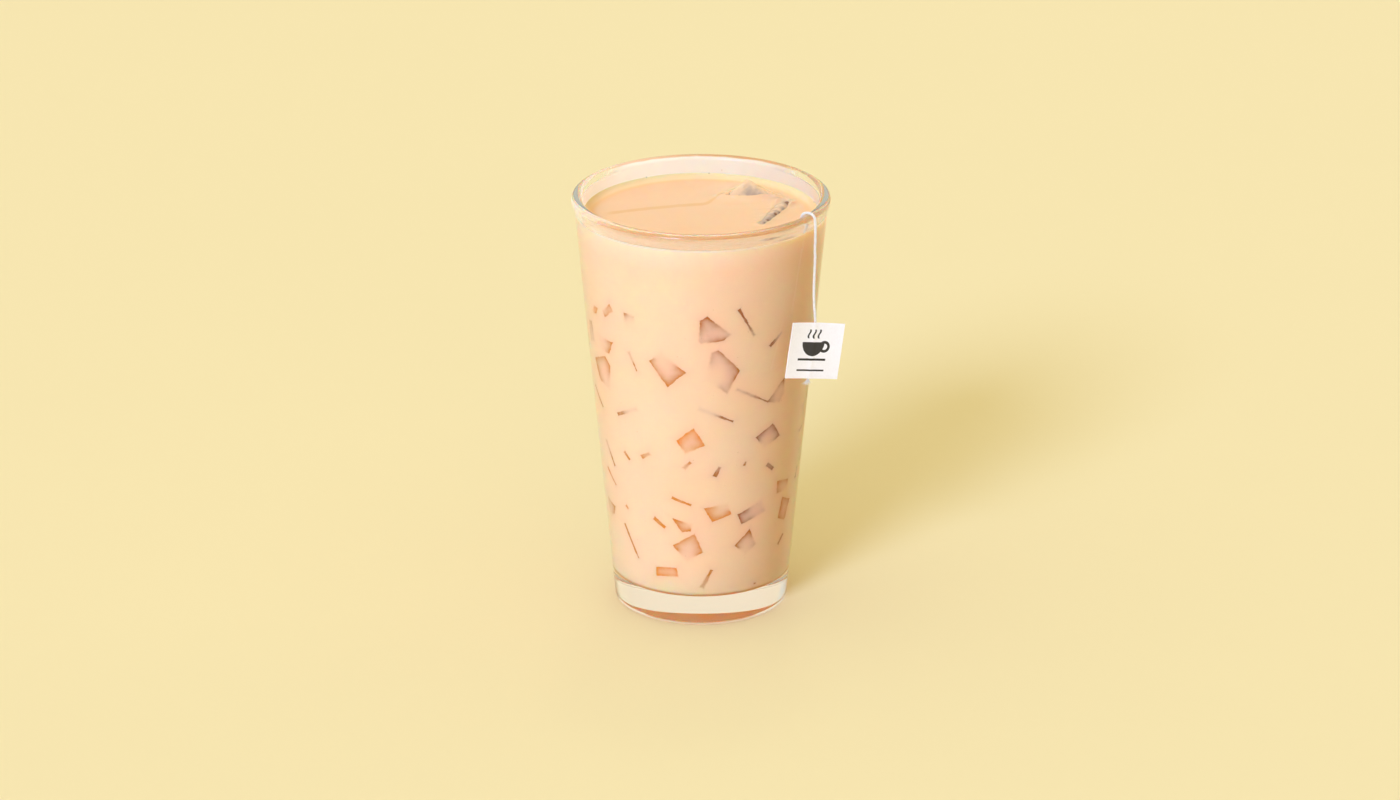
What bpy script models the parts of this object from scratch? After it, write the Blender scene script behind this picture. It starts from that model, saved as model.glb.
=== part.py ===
"""An iced tea latte in a tapered pint glass, with ice afloat and the string and tag of a tea bag.

The origin is the centre of the glass's resting face. +Z is up, and the photograph was taken looking along +Y.
"""

import math

import bmesh
import bpy
from mathutils import Matrix, Vector

MM = 0.001
GAP = 0.3 * MM

# The glass: a straight taper from the base to a beaded rim
HEIGHT = 147.9 * MM
BASE_RADIUS = 30.0 * MM
TOP_RADIUS = 43.9 * MM
RIM_RADIUS = 44.5 * MM
WALL = 3.1 * MM
FLOOR = 10.3 * MM
FLOOR_FILLET = 2.5 * MM
HEEL_RADIUS = 1.2 * MM
RING_INNER_RADIUS = 24.0 * MM
PUNT_DEPTH = 0.4 * MM
BEAD_TOP = 1.6 * MM
BEAD_FOOT = 3.8 * MM
TURNED_STEPS = 64

# The drink: flat, with a meniscus that climbs the wall
DRINK_LEVEL = 139.7 * MM
MENISCUS_RISE = 2.1 * MM
MENISCUS_WIDTH = 2.6 * MM
MENISCUS_STEPS = (0.0, 0.8, 1.8, 3.2, 5.2, 8.0)

# The ice afloat. Its corner stands highest at the back, and a low edge runs from there to the front.
ICE_ROUNDING = 1.6 * MM
ICE_DRAFT = 1.25
ICE_CORNER = Vector((16.0, 24.0, 146.2)) * MM
ICE_CORNER_SIZE = Vector((17.0, 10.0, 16.0)) * MM
ICE_CORNER_TURN = (-46.0, 25.7, -34.0)
ICE_EDGE_START = Vector((31.1, 13.4, 141.8)) * MM
ICE_EDGE_SIZE = Vector((26.0, 16.0, 15.0)) * MM
ICE_EDGE_TURN = (22.0, 2.0, -113.0)
ICE_CHIP_CENTRE = Vector((27.6, -20.3, 136.0)) * MM
ICE_CHIP_SIZE = Vector((11.0, 5.4, 9.0)) * MM
ICE_CHIP_TURN = (9.0, -7.0, 45.7)

# The string: out of the drink, up the inside, over the rim and plumb down to the tag
STRING_DIAMETER = 0.9 * MM
STRING_DIRECTION = Vector((0.854, -0.520, 0.0)).normalized()
STRING_CLEARANCE = STRING_DIAMETER / 2 + GAP
STRING_STEP = 1.6 * MM
STRING_HANG = ((38.75, -23.75, 140.0), (38.6, -24.2, 130.0), (38.4, -24.4, 120.0))

# The tag: two layers of paper folded at the top, a little curled, and turned in its own plane
TAG_WIDTH = 20.0 * MM
TAG_HEIGHT = 19.5 * MM
TAG_THICKNESS = 0.5 * MM
TAG_CURL = 0.9 * MM
TAG_TOP_CENTRE = Vector((39.8, -24.4, 109.8)) * MM
TAG_LEAN = 10.0
TAG_TILT = -4.0
TAG_FACING = 26.0
TAG_CELLS = 8
STRING_OFF_CENTRE = -1.0 * MM
TAIL_OFF_CENTRE = -0.7 * MM
TAIL_LENGTH = 2.6 * MM
TAIL_RADIUS = 0.6 * MM
TAIL_LEAN = 16.0

GLASS_COLOUR = (0.86, 0.90, 0.85)
DRINK_COLOUR = (0.92, 0.60, 0.34)
ICE_COLOUR = (0.72, 0.50, 0.34)
STRING_COLOUR = (0.90, 0.88, 0.82)
TAG_COLOUR = (0.93, 0.90, 0.84)


def clear_scene():
    for old in list(bpy.data.objects):
        bpy.data.objects.remove(old, do_unlink=True)


def material(name, colour, roughness, transmission=0.0):
    made = bpy.data.materials.new(name)
    made.use_nodes = True
    shader = made.node_tree.nodes["Principled BSDF"]
    shader.inputs["Base Color"].default_value = (*colour, 1.0)
    shader.inputs["Roughness"].default_value = roughness
    shader.inputs["Metallic"].default_value = 0.0
    shader.inputs["Transmission Weight"].default_value = transmission
    return made


def finish(bm, name, made_of, sharp_angle=35.0):
    """Turns the shape that was modelled into a named object, smooth but for its sharp edges."""
    bmesh.ops.recalc_face_normals(bm, faces=bm.faces)
    mesh = bpy.data.meshes.new(name)
    bm.to_mesh(mesh)
    bm.free()
    mesh.shade_smooth()
    mesh.set_sharp_from_angle(angle=math.radians(sharp_angle))
    mesh.materials.append(made_of)
    piece = bpy.data.objects.new(name, mesh)
    bpy.context.collection.objects.link(piece)
    return piece


def outer_radius(height):
    return BASE_RADIUS + (TOP_RADIUS - BASE_RADIUS) * height / HEIGHT


def inner_radius(height):
    return outer_radius(height) - WALL


TAPER = (TOP_RADIUS - BASE_RADIUS) / HEIGHT
TAPER_ANGLE = math.degrees(math.atan(TAPER))
TAPER_SLANT = math.hypot(1.0, TAPER)


def arc(centre, across, along, start, end, steps):
    """Points (radius, height) of an elliptical arc, from one angle to another in degrees."""
    points = []
    for step in range(steps + 1):
        angle = math.radians(start + (end - start) * step / steps)
        points.append((centre[0] + across * math.cos(angle), centre[1] + along * math.sin(angle)))
    return points


def fillet_in_glass(radius):
    """The round corner between the inner floor and wall; a smaller radius about the same centre is inside it."""
    height = FLOOR + FLOOR_FILLET
    centre = (inner_radius(height) - FLOOR_FILLET * TAPER_SLANT, height)
    return arc(centre, radius, radius, -90.0, -TAPER_ANGLE, 5)


def glass_outline():
    rim_height = HEIGHT - BEAD_TOP
    rim_middle = (inner_radius(rim_height) + RIM_RADIUS) / 2
    rim_half = (RIM_RADIUS - inner_radius(rim_height)) / 2
    rim = arc((rim_middle, rim_height), rim_half, BEAD_TOP, 180.0, 0.0, 10)
    bead_foot = []
    for step in range(1, 4):
        share = step / 3
        height = rim_height - BEAD_FOOT * share
        proud = (RIM_RADIUS - outer_radius(rim_height)) * (0.5 + 0.5 * math.cos(math.pi * share))
        bead_foot.append((outer_radius(height) + proud, height))
    heel_centre = (outer_radius(HEEL_RADIUS) - HEEL_RADIUS * TAPER_SLANT, HEEL_RADIUS)
    heel = arc(heel_centre, HEEL_RADIUS, HEEL_RADIUS, -TAPER_ANGLE, -90.0, 4)
    punt = arc((0.0, 0.0), RING_INNER_RADIUS, PUNT_DEPTH, 0.0, 90.0, 5)
    return [(0.0, FLOOR)] + fillet_in_glass(FLOOR_FILLET) + rim + bead_foot + heel + punt


def drink_outline():
    contact = DRINK_LEVEL + MENISCUS_RISE
    edge = inner_radius(contact) - GAP
    meniscus = []
    for inward in MENISCUS_STEPS:
        rise = MENISCUS_RISE * math.exp(-inward * MM / MENISCUS_WIDTH)
        meniscus.append((edge - inward * MM, DRINK_LEVEL + rise))
    middle = (0.0, meniscus[-1][1])
    return [(0.0, FLOOR + GAP)] + fillet_in_glass(FLOOR_FILLET - GAP) + meniscus + [middle]


def turned(name, outline, made_of):
    """A solid of revolution about Z, from an outline that starts and ends on the axis."""
    bm = bmesh.new()
    points = [bm.verts.new((radius, 0.0, height)) for radius, height in outline]
    edges = [bm.edges.new(pair) for pair in zip(points, points[1:])]
    bmesh.ops.spin(
        bm,
        geom=points + edges,
        cent=(0.0, 0.0, 0.0),
        axis=(0.0, 0.0, 1.0),
        angle=math.tau,
        steps=TURNED_STEPS,
        use_merge=True,
    )
    bmesh.ops.remove_doubles(bm, verts=bm.verts, dist=0.01 * MM)
    return finish(bm, name, made_of)


def ice_block(name, place, size, turn, from_corner, made_of, extra, draft=1.0):
    """A rounded block of ice. from_corner says which of its corners the place is, and 0 the centre."""
    rotation = Matrix.Rotation(math.radians(turn[2]), 4, "Z")
    rotation @= Matrix.Rotation(math.radians(turn[1]), 4, "Y")
    rotation @= Matrix.Rotation(math.radians(turn[0]), 4, "X")
    bm = bmesh.new()
    bmesh.ops.create_cube(bm, size=1.0)
    bmesh.ops.scale(bm, vec=size + Vector((extra, extra, extra)) * 2, verts=bm.verts)
    foot = [vertex for vertex in bm.verts if vertex.co.z < 0.0]
    bmesh.ops.scale(bm, vec=(draft, draft, 1.0), verts=foot)
    bmesh.ops.bevel(
        bm,
        geom=bm.edges[:],
        offset=ICE_ROUNDING + extra,
        segments=3,
        profile=0.5,
        affect="EDGES",
    )
    shift = Vector([-side * half for side, half in zip(from_corner, size / 2)])
    bmesh.ops.translate(bm, vec=shift, verts=bm.verts)
    piece = finish(bm, name, made_of)
    piece.matrix_world = Matrix.Translation(place) @ rotation
    return piece


def ice_corner(name, made_of, extra=0.0):
    size, turn = ICE_CORNER_SIZE, ICE_CORNER_TURN
    return ice_block(name, ICE_CORNER, size, turn, (-1, -1, 1), made_of, extra, ICE_DRAFT)


def ice_edge(name, made_of, extra=0.0):
    return ice_block(name, ICE_EDGE_START, ICE_EDGE_SIZE, ICE_EDGE_TURN, (-1, 1, 1), made_of, extra)


def ice_chip(name, made_of, extra=0.0):
    return ice_block(name, ICE_CHIP_CENTRE, ICE_CHIP_SIZE, ICE_CHIP_TURN, (0, 0, 0), made_of, extra)


def combine(target, other, operation):
    """Joins another shape to the target or cuts it out, and keeps that shape as a hidden guide."""
    other.hide_render = True
    other.display_type = "WIRE"
    step = target.modifiers.new(operation.title() + " " + other.name, "BOOLEAN")
    step.operation = operation
    step.solver = "EXACT"
    step.object = other


def string_route():
    """The string's own points. It starts just clear of the drink's edge and ends just above the tag."""
    start = DRINK_LEVEL + MENISCUS_RISE + GAP

    def beside(radius, height):
        return STRING_DIRECTION * radius + Vector((0.0, 0.0, height))

    rim_height = HEIGHT - BEAD_TOP
    inside = inner_radius(rim_height) - STRING_CLEARANCE
    outside = RIM_RADIUS + STRING_CLEARANCE
    over = HEIGHT + STRING_CLEARANCE
    middle = (inner_radius(rim_height) + RIM_RADIUS) / 2
    shoulder = 0.72
    return [
        beside(inner_radius(start) - STRING_CLEARANCE, start),
        beside(inside - 0.1 * MM, rim_height - 1.6 * MM),
        beside(inside, rim_height + 0.4 * MM),
        beside(middle + (inside - middle) * shoulder, rim_height + (over - rim_height) * shoulder),
        beside(middle, over),
        beside(middle + (outside - middle) * shoulder, rim_height + (over - rim_height) * shoulder),
        beside(outside, rim_height - 0.4 * MM),
        *[Vector(point) * MM for point in STRING_HANG],
        tag_placing() @ Vector((STRING_OFF_CENTRE, 0.0, GAP)),
    ]


def smooth_through(route, step):
    """Points at an even step along a smooth curve through the route's points."""
    fine = []
    last = len(route) - 1
    for index in range(last):
        before = route[max(index - 1, 0)]
        here, there = route[index], route[index + 1]
        after = route[min(index + 2, last)]
        for part in range(20):
            t = part / 20
            fine.append(
                (
                    here * 2
                    + (there - before) * t
                    + (before * 2 - here * 5 + there * 4 - after) * t**2
                    + (here * 3 - before - there * 3 + after) * t**3
                )
                / 2
            )
    fine.append(route[-1])
    lengths = [0.0]
    for here, there in zip(fine, fine[1:]):
        lengths.append(lengths[-1] + (there - here).length)
    count = max(2, round(lengths[-1] / step))
    points = []
    index = 0
    for number in range(count + 1):
        wanted = lengths[-1] * number / count
        while index < len(lengths) - 2 and lengths[index + 1] < wanted:
            index += 1
        share = (wanted - lengths[index]) / (lengths[index + 1] - lengths[index])
        points.append(fine[index].lerp(fine[index + 1], min(max(share, 0.0), 1.0)))
    return points


def string(name, made_of):
    curve = bpy.data.curves.new(name, "CURVE")
    curve.dimensions = "3D"
    curve.bevel_depth = STRING_DIAMETER / 2
    curve.bevel_resolution = 2
    curve.use_fill_caps = True
    points = smooth_through(string_route(), STRING_STEP)
    spline = curve.splines.new("POLY")
    spline.points.add(len(points) - 1)
    for place, point in zip(spline.points, points):
        place.co = (*point, 1.0)
    curve.materials.append(made_of)
    piece = bpy.data.objects.new(name, curve)
    bpy.context.collection.objects.link(piece)
    return piece


def tag_placing():
    """The tag's own frame: its top edge's middle, leaning in its plane and facing a little to the right."""
    facing = Matrix.Rotation(math.radians(TAG_FACING), 4, "Z")
    tilt = Matrix.Rotation(math.radians(TAG_TILT), 4, "X")
    lean = Matrix.Rotation(math.radians(TAG_LEAN), 4, "Y")
    return Matrix.Translation(TAG_TOP_CENTRE) @ facing @ tilt @ lean


def tag(name, made_of):
    """A thin plate whose side edges curl towards the front, more at the top than at the bottom."""
    bm = bmesh.new()
    layers = []
    for face_offset in (-TAG_THICKNESS / 2, TAG_THICKNESS / 2):
        rows = []
        for row in range(TAG_CELLS + 1):
            down = row / TAG_CELLS
            places = []
            for column in range(TAG_CELLS + 1):
                across = 2 * column / TAG_CELLS - 1
                curl = TAG_CURL * across**2 * (1.0 - 0.5 * down)
                place = (TAG_WIDTH / 2 * across, face_offset - curl, -TAG_HEIGHT * down)
                places.append(bm.verts.new(place))
            rows.append(places)
        layers.append(rows)
    front, back = layers
    for rows in layers:
        for row in range(TAG_CELLS):
            for column in range(TAG_CELLS):
                bm.faces.new(
                    (
                        rows[row][column],
                        rows[row][column + 1],
                        rows[row + 1][column + 1],
                        rows[row + 1][column],
                    )
                )
    for layer_pair in ((front[0], back[0]), (front[-1], back[-1])):
        for column in range(TAG_CELLS):
            near, far = layer_pair
            bm.faces.new((near[column], near[column + 1], far[column + 1], far[column]))
    for column in (0, TAG_CELLS):
        for row in range(TAG_CELLS):
            bm.faces.new(
                (front[row][column], front[row + 1][column], back[row + 1][column], back[row][column])
            )
    piece = finish(bm, name, made_of)
    piece.matrix_world = tag_placing()
    return piece


def string_tail(name, made_of):
    """The frayed end below the tag: a short cone that widens downward, with a rounded foot."""
    outline = [(0.0, -TAIL_LENGTH), (TAIL_RADIUS * 0.8, -TAIL_LENGTH * 0.93), (TAIL_RADIUS, -TAIL_LENGTH * 0.7)]
    outline += [(TAIL_RADIUS * 0.6, -GAP), (0.0, -GAP)]
    bm = bmesh.new()
    points = [bm.verts.new((radius, 0.0, height)) for radius, height in outline]
    edges = [bm.edges.new(pair) for pair in zip(points, points[1:])]
    bmesh.ops.spin(
        bm,
        geom=points + edges,
        cent=(0.0, 0.0, 0.0),
        axis=(0.0, 0.0, 1.0),
        angle=math.tau,
        steps=10,
        use_merge=True,
    )
    bmesh.ops.remove_doubles(bm, verts=bm.verts, dist=0.01 * MM)
    piece = finish(bm, name, made_of)
    lean = Matrix.Rotation(math.radians(TAIL_LEAN), 4, "Y")
    foot = tag_placing() @ Vector((TAIL_OFF_CENTRE, 0.0, -TAG_HEIGHT))
    piece.matrix_world = Matrix.Translation(foot) @ lean
    return piece


def main():
    clear_scene()
    glass_material = material("glass", GLASS_COLOUR, 0.03, transmission=0.9)
    drink_material = material("milk tea", DRINK_COLOUR, 0.12)
    ice_material = material("milky ice", ICE_COLOUR, 0.15)
    string_material = material("cotton", STRING_COLOUR, 0.9)
    tag_material = material("paper", TAG_COLOUR, 0.85)

    turned("glass", glass_outline(), glass_material)
    drink = turned("drink", drink_outline(), drink_material)
    afloat = ice_corner("ice_afloat", ice_material)
    combine(afloat, ice_edge("ice_edge_guide", ice_material), "UNION")
    ice_chip("ice_chip", ice_material)
    combine(drink, ice_corner("ice_corner_cutter", ice_material, GAP), "DIFFERENCE")
    combine(drink, ice_edge("ice_edge_cutter", ice_material, GAP), "DIFFERENCE")
    combine(drink, ice_chip("ice_chip_cutter", ice_material, GAP), "DIFFERENCE")
    string("string", string_material)
    tag("tag", tag_material)
    string_tail("string_tail", string_material)


main()
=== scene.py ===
import math
import random
from contextlib import contextmanager

import bmesh
import bpy
import numpy as np
from bpy.props import FloatProperty, FloatVectorProperty, IntProperty, PointerProperty
from mathutils import Matrix, Vector, noise
from mathutils.bvhtree import BVHTree


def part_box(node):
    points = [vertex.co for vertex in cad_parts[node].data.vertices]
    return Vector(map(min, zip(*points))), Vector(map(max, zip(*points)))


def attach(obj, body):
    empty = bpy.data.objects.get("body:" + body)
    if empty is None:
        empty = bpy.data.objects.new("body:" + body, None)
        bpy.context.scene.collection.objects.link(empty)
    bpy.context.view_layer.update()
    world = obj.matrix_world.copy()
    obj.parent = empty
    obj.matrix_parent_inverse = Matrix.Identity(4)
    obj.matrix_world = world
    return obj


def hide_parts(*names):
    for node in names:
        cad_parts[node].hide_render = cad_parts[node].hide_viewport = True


bl_info = {
    "name": "Iced tea latte",
    "version": (1, 0, 0),
    "blender": (4, 5, 0),
    "location": "View3D > Sidebar > Iced Tea",
    "description": "Dresses an iced tea latte in a pint glass: glass, milk tea, ice, string and tag",
    "category": "Add Mesh",
}

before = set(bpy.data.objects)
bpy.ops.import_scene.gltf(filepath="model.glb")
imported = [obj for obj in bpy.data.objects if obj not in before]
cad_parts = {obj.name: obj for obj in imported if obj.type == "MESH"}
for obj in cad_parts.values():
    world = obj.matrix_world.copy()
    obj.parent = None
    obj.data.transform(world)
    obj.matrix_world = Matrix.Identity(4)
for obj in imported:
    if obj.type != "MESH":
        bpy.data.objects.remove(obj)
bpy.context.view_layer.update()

MM = 0.001
TAU = math.tau

# The glass, as the solid has it
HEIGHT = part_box("glass")[1].z
BASE_RADIUS = 30.0 * MM
TOP_RADIUS = 43.9 * MM
RIM_RADIUS = 44.5 * MM
WALL = 3.1 * MM
FLOOR = 10.3 * MM
FLOOR_FILLET = 2.5 * MM
HEEL_RADIUS = 1.2 * MM
RING_INNER_RADIUS = 24.0 * MM
PUNT_DEPTH = 0.4 * MM
BEAD_TOP = 1.6 * MM
BEAD_FOOT = 3.8 * MM
RIM_MIDDLE = 42.65 * MM
TAPER = (TOP_RADIUS - BASE_RADIUS) / HEIGHT
TAPER_ANGLE = math.degrees(math.atan(TAPER))
TAPER_SLANT = math.hypot(1.0, TAPER)

# The colour of light that runs round inside the rim
GUIDED_LIGHT = (0.93, 1.0, 0.88)

# The drink: flat, with a meniscus at the wall. It reaches just into the wall, so that no air shows.
DRINK_LEVEL = 139.7 * MM
MENISCUS_RISE = 2.1 * MM
MENISCUS_WIDTH = 2.6 * MM
CONTACT = DRINK_LEVEL + MENISCUS_RISE
REACH = 0.15 * MM

# The ice afloat, as the solids have it
ICE_CORNER = Vector((16.0, 24.0, 146.2)) * MM
ICE_CORNER_SIZE = Vector((17.0, 10.0, 16.0)) * MM
ICE_CORNER_TURN = (-46.0, 25.7, -34.0)
ICE_CORNER_DRAFT = 1.25
ICE_EDGE_START = Vector((31.1, 13.4, 141.8)) * MM
ICE_EDGE_SIZE = Vector((26.0, 16.0, 15.0)) * MM
ICE_EDGE_TURN = (22.0, 2.0, -113.0)
ICE_CHIP_CENTRE = Vector((27.6, -20.3, 136.0)) * MM
ICE_CHIP_SIZE = Vector((11.0, 5.4, 9.0)) * MM
ICE_CHIP_TURN = (9.0, -7.0, 45.7)

# Where the ice afloat is bare and dark, and where it is painted grey, partly as ice showing through its film and partly
# as painted shade: (x, y, radius)
ICE_BITS = (
    (9.2, 20.2, 0.9),
    (11.6, 24.2, 0.8),
    (13.2, 18.6, 0.6),
    (30.0, 11.2, 1.5),
    (25.6, 0.4, 1.0),
    (26.8, 2.6, 0.5),
    (23.0, -5.6, 0.9),
    (21.8, -8.0, 0.6),
    (28.0, -20.6, 1.2),
)
ICE_SHADES = (
    (16.6, 19.6, 1.7),
    (18.2, 19.0, 2.0),
    (20.0, 18.3, 1.4),
    (29.9, 10.4, 1.6),
    (28.2, 6.0, 1.3),
    (26.6, 2.4, 1.5),
    (25.2, -0.8, 2.1),
    (23.6, -4.6, 2.6),
    (21.8, -8.4, 2.8),
    (27.5, -20.0, 4.5),
)

# A low tail of ice under the surface, from the raised corner to the low edge: (x, y) of its two ends
ICE_TAIL = (Vector((21.5, 18.2)) * MM, Vector((30.0, 12.2)) * MM)
ICE_TAIL_WIDTH = 2.6 * MM

# The string's route and the tag's place, as the solids have them
STRING_DIAMETER = 0.9 * MM
STRING_DIRECTION = Vector((0.854, -0.520, 0.0)).normalized()
STRING_CLEARANCE = STRING_DIAMETER / 2 + 0.3 * MM
STRING_STEP = 0.8 * MM
STRING_HANG = ((38.75, -23.75, 140.0), (38.6, -24.2, 130.0), (38.4, -24.4, 120.0))
TAG_WIDTH = 20.0 * MM
TAG_HEIGHT = 19.5 * MM
TAG_THICKNESS = 0.5 * MM
TAG_CURL = 0.9 * MM
TAG_TOP_CENTRE = Vector((39.8, -24.4, 109.8)) * MM
TAG_LEAN = 10.0
TAG_TILT = -4.0
TAG_FACING = 26.0
STRING_OFF_CENTRE = -1.0 * MM
TAIL_OFF_CENTRE = -0.7 * MM
TAIL_LENGTH = 2.6 * MM
TAIL_LEAN = 16.0

# The photograph's camera, which looks 21 degrees down, and its principal point in a 1400 by 800 frame
IMAGE_WIDTH = 1400
IMAGE_HEIGHT = 800
CAMERA_DOWN = 21.0
CAMERA_DISTANCE = 1.8877
CAMERA_AIM_HEIGHT = 74.5 * MM
FOCAL_PIXELS = 5437.1
CENTRE_PIXEL = (701.0, 393.96)
SENSOR = 36.0

# Ice under the surface that touches the wall. Each corner of a face is (degrees right of the front,
# millimetres up, millimetres of milk between the ice and the wall). Warm faces look more orange.
ICE_FACES = (
    (1.0, ((-67, 113, 0.3), (-63, 113, 0.0), (-65, 110.5, 0.0), (-71, 109.5, 1.5))),
    (0.9, ((-58, 113, 0.6), (-52, 117, 0.05), (-50, 114.5, 0.3), (-57, 111, 0.0))),
    (0.6, ((-42, 115.5, 0.0), (-35.5, 115, 0.5), (-36, 110.5, 2.0), (-42, 110, 1.5))),
    (0.8, ((-65, 102.5, 1.4), (-52, 102.5, 0.0), (-56, 97.5, 0.0), (-62, 97.5, 1.2))),
    (0.8, ((-73, 92.5, 0.1), (-60, 96, 0.0), (-56, 93, 0.05), (-59, 84, 1.2), (-69, 85.5, 0.15))),
    (0.5, ((-77, 105.5, 0.2), (-73, 106, 0.2), (-72, 99, 0.6), (-78, 98, 0.6))),
    (0.4, ((-0.5, 116, 0.0), (3, 117.5, 0.0), (15, 110.5, 0.5), (12, 108.5, 0.0), (-1, 107.5, 0.6))),
    (0.7, ((-28, 99.5, 0.0), (-21, 103, 1.3), (-8, 96.5, 0.1), (-18, 90.5, 0.0))),
    (0.45, ((5.5, 104, 0.4), (9, 105, 0.0), (21, 96.5, 0.0), (14, 88.5, 0.3), (3, 94, 1.6))),
    (0.3, ((38.5, 82.5, 0.0), (50.5, 90, 0.05), (51, 84, 0.8), (48, 81, 0.7))),
    (1.0, ((-14, 70.5, 0.0), (-4, 75.5, 0.05), (2, 69, 0.0), (-9, 66, 0.5))),
    (0.15, ((32, 70, 0.0), (44, 73.5, 0.0), (51, 68, 0.15), (39, 65.5, 1.0))),
    (0.7, ((52, 50.5, 0.0), (64, 49, 0.1), (63, 45.5, 1.2), (52.5, 45.5, 0.2))),
    (0.8, ((-77, 39.5, 0.4), (-66, 38, 0.0), (-68, 35, 0.2), (-76, 32, 1.2))),
    (0.85, ((-18, 40.5, 0.0), (-6, 38.5, 0.8), (-6.5, 36, 0.0), (-12, 35.5, 0.1))),
    (0.95, ((1.5, 45, 0.1), (16, 46, 1.2), (19, 42, 0.0), (7, 39.5, 0.0))),
    (0.2, ((23, 41.5, 0.0), (39.5, 45, 1.0), (43, 40.5, 0.6), (26, 37.5, 0.1))),
    (0.75, ((56, 35.5, 0.0), (59, 43, 0.1), (69, 40.5, 0.0), (64, 33.5, 0.1))),
    (0.85, ((-18.5, 30, 0.0), (-4, 35, 0.0), (1, 28, 0.0), (-9, 24.5, 1.1))),
    (0.55, ((22, 29.5, 0.0), (32, 35, 0.0), (37.5, 28.5, 0.5), (30, 26, 1.2))),
    (1.0, ((-31, 20.5, 0.0), (-16, 21.5, 0.0), (-15.5, 18, 0.3), (-31, 17, 0.1))),
    # round the right side and the back
    (0.3, ((82, 103, 0.0), (98, 109, 0.9), (104, 97, 1.6), (88, 92, 0.1))),
    (0.5, ((112, 90, 0.0), (118, 95, 0.0), (126, 89, 1.4), (115, 84, 0.8))),
    (0.2, ((75, 74, 1.2), (88, 79, 0.0), (97, 70, 0.0), (84, 60, 1.0))),
    (0.7, ((105, 56, 0.0), (113, 60, 1.1), (122, 56, 1.5), (112, 52, 0.0))),
    (0.6, ((86, 38, 0.9), (93, 42, 0.0), (99, 36, 0.0), (91, 34, 1.3))),
    (0.9, ((124, 33, 1.2), (137, 41, 0.1), (144, 33, 0.0), (131, 25, 0.9))),
    (0.4, ((137, 109, 0.0), (143, 114, 1.2), (148, 110, 0.6), (141, 106, 0.0))),
    (0.3, ((147, 77, 0.0), (160, 84, 0.0), (172, 73, 1.5), (157, 64, 1.0))),
    (0.8, ((162, 45, 0.9), (173, 48, 0.0), (175, 43, 0.0), (165, 41, 1.4))),
    (0.5, ((164, 100, 1.4), (180, 104, 0.0), (181, 98, 0.0), (168, 94, 0.9))),
    (0.6, ((187, 86, 0.0), (195, 92, 0.0), (203, 77, 1.0), (190, 74, 1.3))),
    (0.9, ((197, 25, 0.1), (205, 28, 0.0), (208, 24, 1.3), (200, 21, 0.7))),
    (0.4, ((202, 112, 1.0), (216, 121, 0.0), (224, 110, 0.2), (209, 104, 1.4))),
    (0.7, ((217, 62, 0.0), (223, 65, 0.0), (229, 61, 1.0), (222, 58, 1.3))),
    (0.8, ((227, 102, 0.0), (243, 106, 1.3), (244, 99, 0.9), (231, 95, 0.0))),
    (0.9, ((241, 40, 1.0), (254, 48, 0.0), (263, 38, 0.0), (248, 31, 1.3))),
    (0.8, ((253, 76, 0.0), (259, 80, 1.2), (265, 77, 0.6), (257, 73, 0.0))),
)

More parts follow.
